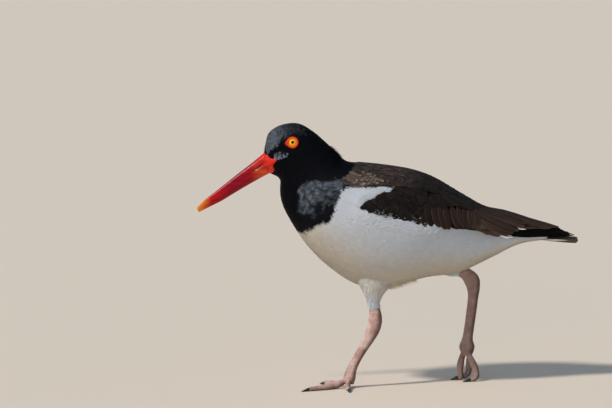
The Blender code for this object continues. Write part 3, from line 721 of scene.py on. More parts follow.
def vane_look():
    """Flat feathers with a shaft, slanting barbs, long streaks and a worn, paler edge."""
    look = Look("brown_vanes", roughness=0.6, specular_ior_level=0.08)
    barbs = look.uv("Barbs")
    side = look.axis(barbs, "X")
    along = look.axis(barbs, "Y")
    across = look.math("ABSOLUTE", (side - 0.5) * 2.0)
    wobble = look.noise(220.0, 2.0) * 0.06
    slant = along * 9.0 - across * 1.6 + wobble * 6.0
    streak = look.math("SINE", slant * 26.0)
    lot = look.axis(look.uv("Lot"), "X") * 40.0
    strip = look.node("ShaderNodeCombineXYZ", {}, {0: side * 7.0, 1: along * 0.9, 2: lot})
    long_streak = look.noise(1.0, 3.0, strip)
    shaft = 1.0 - look.smooth(0.0, 0.10, across)
    edge = look.smooth(0.72, 1.0, across + wobble * 2.0)
    tip = look.smooth(0.90, 1.0, along + wobble)
    worn = look.math("MAXIMUM", edge, tip)
    colour = look.colour_of("plumage")
    colour = look.blend(worn * 0.55, colour, look.tint(colour, (2.20, 2.09, 1.98)))
    shade = look.ramp(long_streak, (0.32, (0.50, 0.50, 0.52)), (0.66, (1.75, 1.70, 1.62)))
    colour = look.blend(shaft * 0.5, look.tint(colour, shade), (0.012, 0.010, 0.009))
    return look.finished(colour, streak * 0.35 + long_streak * 2.0 + shaft * 1.6, 0.10)


# Small feathers: tufts of narrow barbs

BARB_STEPS = (0.0, 0.36, 0.72, 1.0)
BARB_WIDTHS = (0.7, 1.0, 0.8)
BARB_RISE = (0.0, 0.62, 0.92, 1.0)
BARB_QUADS = ((0, 2, 3, 1), (2, 4, 5, 3))
BARB_TIP = (4, 6, 5)
BARB_POINTS = 7
JITTER = 0.35
PATCH = 0.003  # the size of one feather on the plumage's unwrap
BODY_SPAN = (0.0, 19.0)
WING_SPAN = (8.0, 21.0)


def scattered(surface, first, last, spacing, rng):
    """Rows of evenly spread places round a surface, with a spacing in millimetres for each place."""
    places = []
    angles = []
    place = first
    row = 0
    turn = np.linspace(-math.pi, math.pi, 181)
    while place < last:
        apart = broken_line(spacing, place)
        points = surface(np.full(turn.shape, place), turn)
        arc = np.concatenate([[0.0], np.cumsum(np.linalg.norm(np.diff(points, axis=0), axis=1))])
        count = max(int(arc[-1] / apart), 4)
        share = (np.arange(count) + 0.5 * (row % 2) + rng.uniform(-JITTER, JITTER, count)) / count
        angle = np.interp((share % 1.0) * arc[-1], arc, turn)
        along, _ = spans(surface, np.full(count, place), angle)
        widest = spans(surface, np.full(turn.shape, place), turn)[0].max()
        keep = rng.random(count) < np.maximum(along / widest, 0.2)
        shift = rng.uniform(-JITTER, JITTER, count) * apart / along
        places.append((place + shift)[keep])
        angles.append(angle[keep])
        place += apart / widest
        row += 1
    return np.concatenate(places), np.concatenate(angles)


def root_map(places, angles, first, last):
    """Where places lie on the plumage's own unwrap."""
    across = 0.03 + 0.94 * ((angles / math.tau + 0.5) % 1.0)
    along = 0.03 + 0.94 * (places - first) / (last - first)
    return np.stack([across, np.clip(along, 0.01, 0.985)], -1)


class Tufts:
    """Feathers gathered as arrays, each a fan of narrow barbs, to be made one mesh."""

    def __init__(self, rng):
        self.rng = rng
        self.points = []
        self.colours = []
        self.maps = []

    def add(self, surface, places, angles, length, width, depth, paint, span=BODY_SPAN,
            barbs=6, drift=0.0, lift=0.2, ruffle=0.15, fan=0.25, curl=0.0, arch=0.3):
        """Add feathers at places. Depth is how far under the plumage's surface each one roots.

        Paint is a colour, or a function of places, angles and the random source.
        """
        rng = self.rng
        count = len(places)
        across = np.linspace(-1.0, 1.0, barbs)[None, :]

        def spread(value):
            return np.broadcast_to(np.asarray(value, float), (count,))[:, None]

        length, width, depth = spread(length), spread(width), spread(depth)
        drift, lift, curl = spread(drift), spread(lift), spread(curl)
        _, radius = spans(surface, places, angles)
        place = np.broadcast_to(places[:, None], (count, barbs)).copy()
        root_spread = 0.32 * width * across
        angle = angles[:, None] + root_spread / radius[:, None]
        reach = length * (1.0 - 0.18 * across**2 + rng.uniform(-0.14, 0.14, (count, barbs)))
        slope = drift + fan * across * width / length + rng.normal(0.0, 0.05, (count, barbs))
        stray = rng.normal(0.0, ruffle, (count, barbs))
        half = 0.72 * width / barbs
        rows = []
        for step, (share, rise) in enumerate(zip(BARB_STEPS, BARB_RISE)):
            if step:
                travel = (share - BARB_STEPS[step - 1]) * reach
                along_span, across_span = spans(surface, place, angle)
                place = place + travel / along_span
                angle = angle + travel * (slope + curl * share) / across_span
            _, across_span = spans(surface, place, angle)
            height = -depth * (1.0 - rise) - arch * across**2 * share
            height = height + (lift + stray) * share**2
            if step < len(BARB_WIDTHS):
                turn = half * BARB_WIDTHS[step] / across_span
                rows.append(surface(place, angle - turn, height))
                rows.append(surface(place, angle + turn, height))
            else:
                rows.append(surface(place, angle, height))
            if step == 2:
                middle = (place, angle)
        points = np.stack(rows, 2).reshape(-1, 3)
        if callable(paint):
            colours = np.repeat(paint(middle[0].mean(1), middle[1].mean(1), rng)[:, None], barbs, 1)
            colours = colours * (1.0 + rng.normal(0.0, 0.03, (count, barbs)))[..., None]
        else:
            colours = np.broadcast_to(np.asarray(paint, float), (count, barbs, 3))
        colours = np.repeat(colours.reshape(-1, 1, 3), BARB_POINTS, 1)
        local = np.zeros((count, barbs, BARB_POINTS, 2))
        local[..., 0] = (across[..., None] * 0.5) * PATCH
        local[..., 1] = np.repeat(BARB_STEPS, (2, 2, 2, 1)) * PATCH
        local += root_map(places, angles, *span)[:, None, None, :]
        self.points.append(points)
        self.colours.append(np.clip(colours.reshape(-1, 3), 0.0, 1.0))
        self.maps.append(local.reshape(-1, 2))

    def mesh(self):
        points = np.concatenate(self.points)
        strips = len(points) // BARB_POINTS
        template = np.array([*BARB_QUADS[0], *BARB_QUADS[1], *BARB_TIP])
        corners = (np.arange(strips)[:, None] * BARB_POINTS + template).ravel()
        mesh = array_mesh(points, corners, np.tile((4, 4, 3), strips))
        add_uv(mesh, "OFBake", np.concatenate(self.maps))
        add_colour(mesh, np.concatenate(self.colours))
        return mesh


# Flat feathers: vanes with a shaft

VANE_THICKNESS = 0.16
SHAFT_WIDTH = 0.12
VANE_ROWS = np.array((0.0, 0.12, 0.24, 0.38, 0.52, 0.66, 0.77, 0.85, 0.91, 0.955, 0.985, 1.0))


def vane_outline(share, blunt):
    """Half width of a vane along its length, as a share of its widest."""
    start = 0.34 + 0.66 * smoothstep(0.0, 0.45, share)
    end = np.clip((share - blunt) / (1.0 - blunt), 0.0, 1.0)
    return start * np.sqrt(np.maximum(1.0 - end**2, 0.0004))


class Vanes:
    """Flat feathers gathered as arrays, to be made one mesh."""

    def __init__(self, rng, columns=9):
        self.rng = rng
        self.columns = columns
        self.points = []
        self.colours = []
        self.barbs = []
        self.lots = []
        self.maps = []

    def add(self, surface, root, tip, width, heights, colour, tilt=0.0, camber=0.5, blunt=0.72,
            span=WING_SPAN, end_colour=None, end_from=0.68, ragged=0.035):
        """One feather from root to tip, each a section number and degrees.

        Heights are its root's, middle's and tip's. The tilt lifts its lower edge over the next
        feather, and the camber rounds it across.
        """
        rng = self.rng
        share, across = np.meshgrid(VANE_ROWS, np.linspace(-1.0, 1.0, self.columns), indexing="ij")
        half = 0.5 * width * vane_outline(share, blunt)
        half = half * (1.0 + rng.normal(0.0, ragged, (len(VANE_ROWS), 1)) * (share > 0.3))
        place = mixed(root[0], tip[0], share)
        angle = np.radians(mixed(root[1], tip[1], share))
        middle = np.where(
            share < 0.4,
            mixed(heights[0], heights[1], smoothstep(0.0, 0.4, share)),
            mixed(heights[1], heights[2], smoothstep(0.4, 1.0, share)),
        )
        along, around = tangents(surface, place, angle)
        run = unit(along * (tip[0] - root[0]) + around * math.radians(tip[1] - root[1]))
        side = np.cross(unit(np.cross(along, around)), run)
        both = dot(along, around)
        whole = dot(along, along) * dot(around, around) - both**2
        place_step = (dot(side, along) * dot(around, around) - dot(side, around) * both) / whole
        angle_step = (dot(side, around) * dot(along, along) - dot(side, along) * both) / whole
        place = place + across * half * place_step
        angle = angle + across * half * angle_step
        height = middle - 0.5 * tilt * across * smoothstep(0.1, 0.5, share)
        height = height - camber * across**2 + 0.12 * np.exp(-((across / SHAFT_WIDTH) ** 2))
        self.points.append(surface(place, angle, height).reshape(-1, 3))
        paint = np.tile(np.array(colour) * (1.0 + rng.normal(0.0, 0.13)), (share.size, 1))
        if end_colour is not None:
            paint = blend_into(paint, end_colour, smoothstep(end_from, end_from + 0.14, share).ravel())
        self.colours.append(np.clip(paint, 0.0, 1.0))
        self.barbs.append(np.stack([0.5 + 0.5 * across, share], -1).reshape(-1, 2))
        self.lots.append(np.tile(rng.random(2), (share.size, 1)))
        start = root_map(np.array([root[0]]), np.radians([root[1]]), *span)
        local = np.stack([across * 0.5, share], -1).reshape(-1, 2) * PATCH
        self.maps.append(start + local)

    def mesh(self):
        points = np.concatenate(self.points)
        rows = len(VANE_ROWS)
        quads = ring_faces(rows, self.columns, closed=False)
        count = len(self.points)
        step = rows * self.columns
        corners = (np.arange(count)[:, None, None] * step + quads).reshape(-1)
        mesh = array_mesh(points, corners, np.full(count * len(quads), 4))
        add_uv(mesh, "OFBake", np.concatenate(self.maps))
        add_uv(mesh, "Barbs", np.concatenate(self.barbs))
        add_uv(mesh, "Lot", np.concatenate(self.lots))
        add_colour(mesh, np.concatenate(self.colours))
        return with_modifier(mesh, "SOLIDIFY", thickness=VANE_THICKNESS * MM, offset=-1.0)


def on_side(mesh, sign):
    """A mesh of the left side, or for the right side its mirror image."""
    if sign > 0.0:
        return mesh
    copy = mesh.copy()
    copy.transform(Matrix.Scale(-1.0, 4, (0.0, 1.0, 0.0)))
    copy.flip_normals()
    return copy


# Skin and body plumage

# By section, how deep the skin lies under the plumage, how far apart its feathers stand, and how many
# times as long as that they are.
COAT_DEPTH = ((0.0, 0.5), (2.0, 0.9), (6.0, 1.3), (9.0, 2.2), (12.0, 3.0), (17.0, 2.6), (19.0, 1.2))
COAT_SPACING = ((0.0, 0.95), (4.0, 1.2), (8.0, 1.7), (11.0, 2.2), (19.0, 2.5))
COAT_LENGTH = ((0.0, 2.4), (3.0, 3.4), (8.0, 4.2), (12.0, 4.6))
# The same for the thighs, and the height below which their skin is white.
THIGH_DEPTH = 2.2
THIGH_SPACING = ((0.0, 1.35),)
THIGH_WHITE = 92.0
# Where the eye sits, how far it leans forward and lies in, and how far feathers keep off it.
EYE_PLACE = 4.80
EYE_ANGLE = math.radians(111.5)
EYE_LEAN = 0.10
EYE_SINK = 3.4
EYE_CLEAR = 5.2
# The folded wing's front edge, by degrees, and its lower edge, by section.
WING_FRONT = (
    (96.0, 11.9),
    (99.0, 11.7),
    (108.0, 11.53),
    (114.0, 11.75),
    (126.5, 12.28),
    (150.0, 13.2),
)
WING_FOOT = (
    (11.6, 100.0),
    (12.4, 99.5),
    (13.2, 103.0),
    (14.4, 105.0),
    (15.2, 104.0),
    (16.2, 108.0),
    (17.2, 100.0),
    (19.0, 112.0),
)


def coat_depth(places):
    return broken_line(COAT_DEPTH, places)


def wing_edge(places, degrees):
    """How far the plumage swells, from 0 to 1, to meet the folded wing's lower and front edges."""
    foot = broken_line(WING_FOOT, places)
    lower = smoothstep(foot - 34.0, foot - 3.0, degrees) * smoothstep(11.0, 11.9, places)
    lower = lower * (1.0 - smoothstep(14.3, 15.3, places))
    front = broken_line(WING_FRONT, degrees)
    ahead = smoothstep(front - 0.9, front - 0.1, places) * smoothstep(92.0, 100.0, degrees)
    ahead = ahead * (1.0 - smoothstep(front + 0.3, front + 1.0, places))
    ahead = ahead * (1.0 - smoothstep(120.0, 134.0, degrees))
    return 0.85 * np.maximum(lower, ahead)


def coat_points(places, angles, grow=0.0):
    """The outside of the body's small feathers, which sink again under the folded wing."""
    degrees = np.abs(np.degrees(angles))
    foot = broken_line(WING_FOOT, places)
    behind = smoothstep(0.0, 0.5, places - broken_line(WING_FRONT, degrees))
    under = behind * smoothstep(foot, foot + 4.0, degrees)
    share = (wing_edge(places, degrees) * (1.0 - under))[..., None]
    return mixed(body_points(places, angles, grow), wing_points(places, angles, grow), share)


def fringe_points(places, angles, grow=0.0):
    """The same outside, running on over the edge of the wing."""
    share = wing_edge(places, np.abs(np.degrees(angles)))[..., None]
    return mixed(body_points(places, angles, grow), wing_points(places, angles, grow), share)


def eye_frame():
    """The left eye's matrix in millimetres: its Z axis points out of the head."""
    here, along, around = body_points(
        np.array([EYE_PLACE, EYE_PLACE + STEP, EYE_PLACE]),
        np.array([EYE_ANGLE, EYE_ANGLE, EYE_ANGLE + STEP]),
    )
    normal = Vector(along - here).cross(Vector(around - here)).normalized()
    if normal.y > 0.0:
        normal = -normal
    normal = (normal + Vector((-EYE_LEAN, 0.0, 0.0))).normalized()
    matrix = normal.to_track_quat("Z", "Y").to_matrix().to_4x4()
    matrix.translation = Vector(here) - normal * EYE_SINK
    return matrix


EYE = eye_frame()


def eye_distance(points):
    """Distance from the axis of the eye on the point's own side."""
    near = points.copy()
    near[..., 1] = -np.abs(near[..., 1])
    local = near - np.array(EYE.translation)
    axis = np.array(EYE.col[2][:3])
    along = (local * axis).sum(-1, keepdims=True)
    return np.linalg.norm(local - along * axis, axis=-1)


def build_skin(material, rng):
    """One skin under the plumage of head, neck, body and thighs, coloured as the plumage is."""
    places = np.linspace(0.1, 19.0, 120)
    meshes = [lofted(grid_of(body_points, places, 72, -coat_depth(places)))]
    for stations in (THIGH_LEFT, THIGH_RIGHT):
        along = np.linspace(0.8, len(stations) - 1.9, 24)
        meshes.append(lofted(grid_of(limb_surface(stations), along, 32, -THIGH_DEPTH)))
    mesh = remeshed(meshes, voxel=1.5, rounds=4)
    points = mesh_points(mesh)
    grid_place, grid_angle = np.meshgrid(
        np.linspace(0.0, 19.0, 191), np.radians(np.arange(-180.0, 180.0, 3.0)), indexing="ij"
    )
    grid_points = body_points(grid_place, grid_angle).reshape(-1, 3)
    tree = KDTree(len(grid_points))
    for number, point in enumerate(grid_points):
        tree.insert(point, number)
    tree.balance()
    nearest = np.array([tree.find(point)[1] for point in points])
    place = grid_place.ravel()[nearest]
    angle = grid_angle.ravel()[nearest]
    colours = plumage_colour(place, angle, rng, 0.0)
    colours[points[:, 2] < THIGH_WHITE] = WHITE
    add_uv(mesh, "OFBake", root_map(place, angle, *BODY_SPAN))
    add_colour(mesh, colours * 0.9)
    nodes = ("head", "neck", "torso", "thigh_left", "thigh_right")
    piece("skin", mesh, material, "white_feathers", *nodes)


def under_wing(places, angles):
    """Whether places lie well under the folded wing, where no small feathers are needed."""
    degrees = np.abs(np.degrees(angles))
    behind = places > broken_line(WING_FRONT, degrees) + 0.5
    above = degrees > broken_line(WING_FOOT, places) + 3.0
    return behind & above


def build_coat(dark, light, rng):
    """The small feathers of head, neck and body, in pieces from front to back."""
    bands = (
        ("head_plumage", 0.0, 4.2, dark, "black_feathers"),
        ("crown_plumage", 4.2, 6.6, dark, "black_feathers"),
        ("neck_plumage", 6.6, 9.5, dark, "black_feathers"),
        ("breast_plumage", 9.5, 12.0, light, "white_feathers"),
        ("belly_plumage", 12.0, 14.4, light, "white_feathers"),
        ("vent_plumage", 14.4, 18.6, light, "white_feathers"),
    )
    for name, first, last, material, slot in bands:
        places, angles = scattered(coat_points, max(first, 0.12), last, COAT_SPACING, rng)
        length = broken_line(COAT_SPACING, places) * broken_line(COAT_LENGTH, places)
        keep = places > broken_line(BILL_EDGE, np.abs(np.degrees(angles)))
        keep &= ~under_wing(places, angles)
        along = spans(body_points, places, angles)[0]
        for share, clear in ((0.0, EYE_CLEAR), (0.5, EYE_CLEAR), (1.0, EYE_CLEAR + 0.2)):
            keep &= eye_distance(body_points(places + share * length / along, angles)) > clear
        places, angles, length = places[keep], angles[keep], length[keep]
        low = 1.0 - smoothstep(30.0, 60.0, np.abs(np.degrees(angles)))
        loose = smoothstep(12.5, 14.0, places) * low
        on_head = last < 7.0
        on_body = last > 9.5
        tufts = Tufts(rng)
        tufts.add(
            coat_points, places, angles,
            length=length * (1.0 + 0.25 * loose),
            width=2.5 * broken_line(COAT_SPACING, places),
            depth=coat_depth(places),
            paint=plumage_colour,
            barbs=5 if on_head else 7,
            lift=0.08 + 0.35 * loose,
            ruffle=0.03 if on_body else 0.10,
            arch=0.15 if on_body else 0.30,
        )
        piece(name, tufts.mesh(), material, slot)


def build_nape(material, rng):
    """Loose black feathers where the hood ends on the back."""
    count = 210
    reach = 42.0
    places = rng.uniform(7.2, 8.15, count)
    aside = rng.uniform(-reach, reach, count)
    highest = 3.2 - 2.6 * np.abs(aside) / reach
    length = rng.uniform(5.0, 8.0, count)
    lift = rng.uniform(0.2, highest)
    tufts = Tufts(rng)
    tufts.add(
        body_points, places, np.radians(180.0 + aside), length, width=2.0, depth=1.4, paint=BLACK,
        barbs=5, lift=lift, ruffle=0.4, fan=0.4,
    )
    piece("nape_plumage", tufts.mesh(), material, "black_feathers")


def white(places, angles, rng):
    shade = 1.0 + rng.normal(0.0, 0.04, np.shape(places))
    return np.clip(np.array(WHITE) * shade[..., None], 0.0, 0.95)


def build_thigh_coat(material, rng):
    # each thigh's side, stations, first place, and share of the belly's painted warm bounce light
    thighs = (("left", THIGH_LEFT, 0.5, 0.6), ("right", THIGH_RIGHT, 1.2, 1.0))
    for side, stations, top, thigh_bounce in thighs:
        surface = limb_surface(stations)
        last = len(stations) - 1.0
        places, angles = scattered(surface, top, last - 1.15, THIGH_SPACING, rng)
        count = len(places)
        longer = 1.0 - smoothstep(last - 3.2, last - 1.0, places)

        def paint(places, angles, rng):
            """Tinted with the belly's painted warm bounce light where the thigh leaves it, then white.
            """
            fade = 1.0 - smoothstep(last - 4.0, last - 1.6, places)
            return blend_into(white(places, angles, rng), WARM_BOUNCE, thigh_bounce * fade)

        length = (4.2 + 4.2 * longer) * rng.uniform(0.6, 1.4, count)
        lift = rng.uniform(-0.4, 0.7, count)
        tufts = Tufts(rng)
        tufts.add(
            surface, places, angles, length, width=3.0, depth=1.8, paint=paint,
            span=(0.0, last), lift=lift, ruffle=0.5, fan=0.5,
        )
        piece(f"thigh_plumage_{side}", tufts.mesh(), material, "white_feathers")


# Wings

# By section, the upper edges of the wing's base and of its lesser coverts, in degrees.
WING_TOP = ((11.75, 112.0), (12.4, 132.0), (13.2, 148.0), (15.0, 170.0))
LESSER_TOP = ((11.45, 106.0), (11.9, 120.0), (12.3, 132.0), (13.6, 150.0))
COVERT_BROWN = (0.0088, 0.0066, 0.0061)
WHOLE_BIRD = 400.0  # wide enough for the unwrap of the wing's base


def wing_base():
    """The dark folded wing under its feathers, a closed slab."""
    columns = 24
    rings = []
    for place in np.linspace(11.75, 17.0, 40):
        low = broken_line(WING_FOOT, place) + 4.0
        angles = np.radians(np.linspace(low, broken_line(WING_TOP, place), columns))
        places = np.full(columns, place)
        top = wing_points(places, angles, -1.6 - 1.4 * smoothstep(12.5, 15.0, place))
        bottom = body_points(places, angles, -3.5)
        rings.append(np.concatenate([top, bottom[::-1]]))
    mesh = lofted(np.array(rings))
    points = mesh_points(mesh)
    add_colour(mesh, np.array(SOOT) * 0.6)
    add_uv(mesh, "OFBake", points[:, (0, 2)] / WHOLE_BIRD + 0.5)
    return mesh


def rows_of(tier, vanes):
    """A row of overlapping feathers between a tier's roots and tips, from the lowest up."""
    rng = vanes.rng
    count = tier["count"]
    last = len(tier["tips"]) - 1.0
    loose = tier.get("loose", 1.0)
    for order in range(count):
        share = np.array([last * order / (count - 1)])
        root = curves(tier["roots"], share)[0]
        tip = curves(tier["tips"], share)[0]
        tip = (tip[0] + loose * rng.uniform(-0.05, 0.05), tip[1] + loose * rng.uniform(-0.9, 0.9))
        width = tier["width"] * (1.0 + rng.uniform(-0.08, 0.08))
        heights = [height - tier.get("step", 0.0) * order for height in tier["heights"]]
        first = np.array(tier["colour"])
        colour = blend_into(first, tier.get("to", first), share[0] / last)
        vanes.add(
            wing_points, root, tip, width, heights, colour,
            tilt=tier.get("tilt", 1.4), blunt=tier.get("blunt", 0.72),
        )


# Each tier of wing feathers, from the one under all the others up. Roots and tips are section numbers
# and degrees, heights are the root's, middle's and tip's, and the step lowers each feather in turn.
WING_TIERS = {
    "primary": {
        "count": 7,
        "roots": ((16.0, 128.0), (16.0, 117.0), (16.0, 107.0)),
        "tips": ((19.35, 157.0), (19.8, 145.0), (20.08, 131.0)),
        "width": 9.0,
        "heights": (-6.0, -2.4, -1.0),
        "step": 0.4,
        "tilt": 0.5,
        "blunt": 0.62,
        "colour": (0.0014, 0.0014, 0.0016),
    },
    "secondary": {
        "count": 8,
        "roots": ((13.9, 122.0), (14.5, 134.0), (15.3, 150.0)),
        "tips": ((15.0, 108.0), (15.8, 111.0), (16.4, 116.0)),
        "width": 11.5,
        "heights": (-5.5, -3.2, -2.4),
        "colour": (0.0115, 0.0080, 0.0066),
    },
    "long_tertial": {
        "count": 5,
        "roots": ((15.2, 150.0), (15.2, 161.0), (15.2, 172.0)),
        "tips": ((18.4, 139.0), (19.1, 147.0), (19.45, 163.0)),
        "width": 13.0,
        "heights": (-3.4, -1.2, -0.6),
        "tilt": 1.5,
        "colour": (0.026, 0.0165, 0.0125),
    },
    "tertial": {
        "count": 8,
        "roots": ((15.0, 128.0), (15.3, 139.0), (15.5, 150.0), (15.5, 162.0)),
        "tips": ((16.6, 112.0), (17.15, 105.0), (17.66, 117.0), (17.9, 142.0)),
        "width": 10.5,
        "heights": (-3.0, -0.7, -0.1),
        "step": -0.06,
        "tilt": 1.9,
        "colour": (0.042, 0.0285, 0.0225),
        "to": (0.030, 0.0195, 0.0150),
    },
    "greater_covert": {
        "count": 15,
        "roots": ((12.9, 113.0), (14.4, 134.0), (15.75, 150.0)),
        "tips": ((13.5, 103.0), (14.9, 103.0), (16.15, 113.0)),
        "width": 8.8,
        "heights": (-1.5, -0.4, 0.0),
        "tilt": 0.9,
        "blunt": 0.66,
        "loose": 1.8,
        "colour": (0.0120, 0.0082, 0.0066),
        "to": (0.032, 0.0205, 0.0145),
    },
    "median_covert": {
        "count": 13,
        "roots": ((12.1, 107.0), (13.3, 131.0), (14.5, 153.0)),
        "tips": ((12.9, 102.5), (14.2, 121.0), (15.6, 146.0)),
        "width": 9.0,
        "heights": (-1.8, -0.1, -0.3),
        "tilt": 0.3,
        "loose": 2.4,
        "colour": (0.0120, 0.0084, 0.0070),
        "to": (0.0140, 0.0098, 0.0080),
    },
}
# Roots and tips of the white slivers of secondaries that show under the folded wing.
WHITE_SECONDARIES = (
    ((16.9, 106.0), (17.42, 101.5)),
    ((16.9, 104.0), (17.54, 104.0)),
    ((17.2, 128.0), (17.98, 129.5)),
)


def leaf_patch(vanes, colour_at, limits, heights_at, first, last, drop, spacing, long, wide, camber):
    """Rows of small rounded feathers over a part of the wing, from the back row forward.

    Rows lie a drop apart in sections, and their feathers a spacing apart in millimetres.
    """
    rng = vanes.rng
    for row in range(int((last - first) / drop), -1, -1):
        place = first + row * drop
        low, high = limits(place)
        if high <= low:
            continue
        radius = spans(wing_points, np.array([place]), np.radians([0.5 * (low + high)]))[1][0]
        step = math.degrees(spacing / radius)
        for degree in np.arange(low + 0.5 * step * (row % 2), high, step):
            here = place + rng.uniform(-0.25, 0.25) * drop
            degree = degree + rng.uniform(-0.2, 0.2) * step
            along = spans(wing_points, np.array([here]), np.radians([degree]))[0][0]
            end = here + long * rng.uniform(0.9, 1.12) / along
            outward = 5.0 * (1.0 - smoothstep(160.0, 176.0, degree))
            tip = (end, max(degree - outward + rng.normal(0.0, 1.5), limits(end)[0] - 1.0))
            colour, end_colour = colour_at(here, degree, rng)
            vanes.add(
                wing_points, (here, degree), tip, wide * rng.uniform(0.92, 1.08), heights_at(place),
                colour, tilt=0.3, camber=camber, blunt=0.5, ragged=0.05,
                end_colour=end_colour, end_from=0.80,
            )


def shoulder_colour(place, degree, rng):
    """A brown feather's colour and its tip's, some of them faded with worn tan ends."""
    base = np.array(BROWN) * rng.uniform(0.7, 1.35)
    end = base * rng.uniform(0.9, 1.7)
    if place < 12.6 and rng.random() < 0.45:
        end = blend_into(end, TAN, rng.uniform(0.05, 0.25))
    if inside(FADED_PATCH, place, degree) and rng.random() < 0.75:
        base = blend_into(base, TAN, rng.uniform(0.05, 0.42))
        end = blend_into(end, TAN, rng.uniform(0.3, 1.0))
    dark = 0.75 * smoothstep(12.0, 13.6, place)
    return blend_into(base, SOOT, dark), blend_into(end, SOOT, dark)


def covert_colour(place, degree, rng):
    base = np.array(COVERT_BROWN) * rng.uniform(0.7, 1.4)
    return base, base * rng.uniform(0.9, 1.9)


def scapular_limits(place):
    """The degrees between which scapulars grow: above the white wedge, then above the tertials."""
    low = broken_line(WEDGE_TOP, place) + 6.0 if place < 12.3 else 138.0 + 5.0 * (place - 12.3)
    return low, 179.5


def scapular_heights(place):
    sink = 2.3 * smoothstep(12.8, 15.8, place)
    return [height - sink for height in (-1.2, 0.3, 0.4)]


def lesser_limits(place):
    return broken_line(WING_FOOT, place) + 2.0, broken_line(LESSER_TOP, place)


def lesser_heights(place):
    return (-2.4, 0.3, 0.6)


def build_wings(material, base_material, rng):
    big = Vanes(rng)
    for tier in WING_TIERS.values():
        rows_of(tier, big)
    for root, tip in WHITE_SECONDARIES:
        big.add(
            wing_points, root, tip, width=3.0, heights=(-4.0, -2.4, -1.6), colour=WHITE,
            tilt=0.3, camber=0.3,
        )
    small = Vanes(rng, columns=5)
    leaf_patch(
        small, covert_colour, lesser_limits, lesser_heights,
        first=11.5, last=13.6, drop=0.17, spacing=3.6, long=8.5, wide=6.8, camber=0.5,
    )
    top = Vanes(rng, columns=7)
    leaf_patch(
        top, shoulder_colour, scapular_limits, scapular_heights,
        first=9.75, last=15.8, drop=0.22, spacing=4.3, long=11.6, wide=8.0, camber=0.25,
    )
    parts = (
        ("wing_feathers", big.mesh(), material, ["wing"]),
        ("wing_coverts", small.mesh(), material, []),
        ("scapulars", top.mesh(), material, []),
        ("wing_base", wing_base(), base_material, []),
    )
    for name, mesh, look, replaced in parts:
        for side, sign in SIDES:
            nodes = [f"{node}_{side}" for node in replaced]
            piece(f"{name}_{side}", on_side(mesh, sign), look, "brown_feathers", *nodes)


def loose_feathers(tufts, side, places, degrees, length, lift, drift=None, surface=fringe_points,
                   width=2.8, depth=2.2, paint=white, **rest):
    """Add feathers on one side, with a length, a drift upward and a lift drawn from a range each."""
    rng = tufts.rng
    count = len(places)
    length = rng.uniform(*length, count)
    drift = side * rng.uniform(*drift, count) if drift else 0.0
    lift = rng.uniform(*lift, count)
    tufts.add(
        surface, places, side * np.radians(degrees), length, width, depth, paint, WING_SPAN,
        drift=drift, lift=lift, **rest,
    )


def build_fringe(material, rng):
    """White flank and shoulder feathers that curl up over the folded wing's edge."""
    for label, side in SIDES:
        tufts = Tufts(rng)
        # along the wing's lower edge
        places = rng.uniform(11.75, 14.55, 280)
        degrees = broken_line(WING_FOOT, places) - rng.uniform(4.5, 13.0, len(places))
        loose_feathers(
            tufts, side, places, degrees, length=(5.5, 9.0), lift=(0.1, 0.8), drift=(0.05, 0.40),
            ruffle=0.25, fan=0.5, curl=side * 0.25,
        )
        # thin wisps that curl over that edge
        places = rng.uniform(11.95, 13.65, 54)
        degrees = broken_line(WING_FOOT, places) - rng.uniform(1.0, 5.0, len(places))
        loose_feathers(
            tufts, side, places, degrees, length=(8.0, 11.0), lift=(1.0, 1.6), drift=(0.10, 0.45),
            width=1.0, depth=1.0, barbs=3, ruffle=0.05, fan=0.4, curl=side * 0.35,
        )
        # in front of the wing
        degrees = rng.uniform(99.0, 127.0, 320)
        places = broken_line(WING_FRONT, degrees) - rng.uniform(0.28, 0.60, len(degrees))
        loose_feathers(
            tufts, side, places, degrees, length=(6.0, 8.5), lift=(0.1, 0.7), drift=(0.0, 0.35),
            width=3.2, ruffle=0.22, fan=0.5,
        )
        # longer ones that hang under the belly
        places = rng.uniform(13.6, 14.5, 60)
        degrees = rng.uniform(0.0, 24.0, len(places))
        loose_feathers(
            tufts, side, places, degrees, length=(10.0, 16.0), lift=(1.0, 6.0), surface=body_points,
            width=2.6, depth=1.5, paint=plumage_colour, barbs=5, ruffle=0.5, fan=0.6,
        )
        piece(f"flank_fringe_{label}", tufts.mesh(), material, "white_feathers")


# Tail

TAIL_ROOT = (141.0, 140.8)
TAIL_TIP = (182.4, 138.2)
TAIL_REACH = (0.975, 0.99, 1.0, 0.995, 0.98, 0.955)  # from the middle feather outward
TAIL_BROWN = (0.038, 0.028, 0.018)
# painted shade: the white of the tail's bases, painted grey
TAIL_SHADED_WHITE = (0.36, 0.34, 0.30)


def tail_surface(places, angles, grow=0.0):
    """A flat surface: the place runs from root to tip, and the angle is millimetres to the left."""
    x = mixed(TAIL_ROOT[0], TAIL_TIP[0], places)
    z = mixed(TAIL_ROOT[1], TAIL_TIP[1], places) + grow
    return np.stack([x, -angles, z], -1)


def build_tail(material, rng):
    """Twelve brown tail feathers, the outer ones lower and with white bases painted grey as shade."""
    vanes = Vanes(rng)
    for side in (-1.0, 1.0):
        for order, reach in enumerate(TAIL_REACH):
            root = (0.0, math.degrees(side * (1.2 + 1.0 * order)))
            tip = (reach, math.degrees(side * (2.4 + 2.7 * order)))
            drop = 0.52 * order + (0.0 if side < 0.0 else 0.2)
            vanes.add(
                tail_surface, root, tip,
                width=9.5,
                heights=(-0.5 * order, -0.1 - drop, -0.6 - drop),
                colour=TAIL_SHADED_WHITE if order > 2 else TAIL_BROWN,
                blunt=0.66,
                span=(0.0, 1.2),
                end_colour=TAIL_BROWN,
                end_from=0.66 - 0.10 * max(order - 3, 0) ** 2,
            )
    piece("tail_feathers", vanes.mesh(), material, "brown_feathers", "tail")


# Bill

BILL_ROWS = 90
BILL_COLUMNS = 40
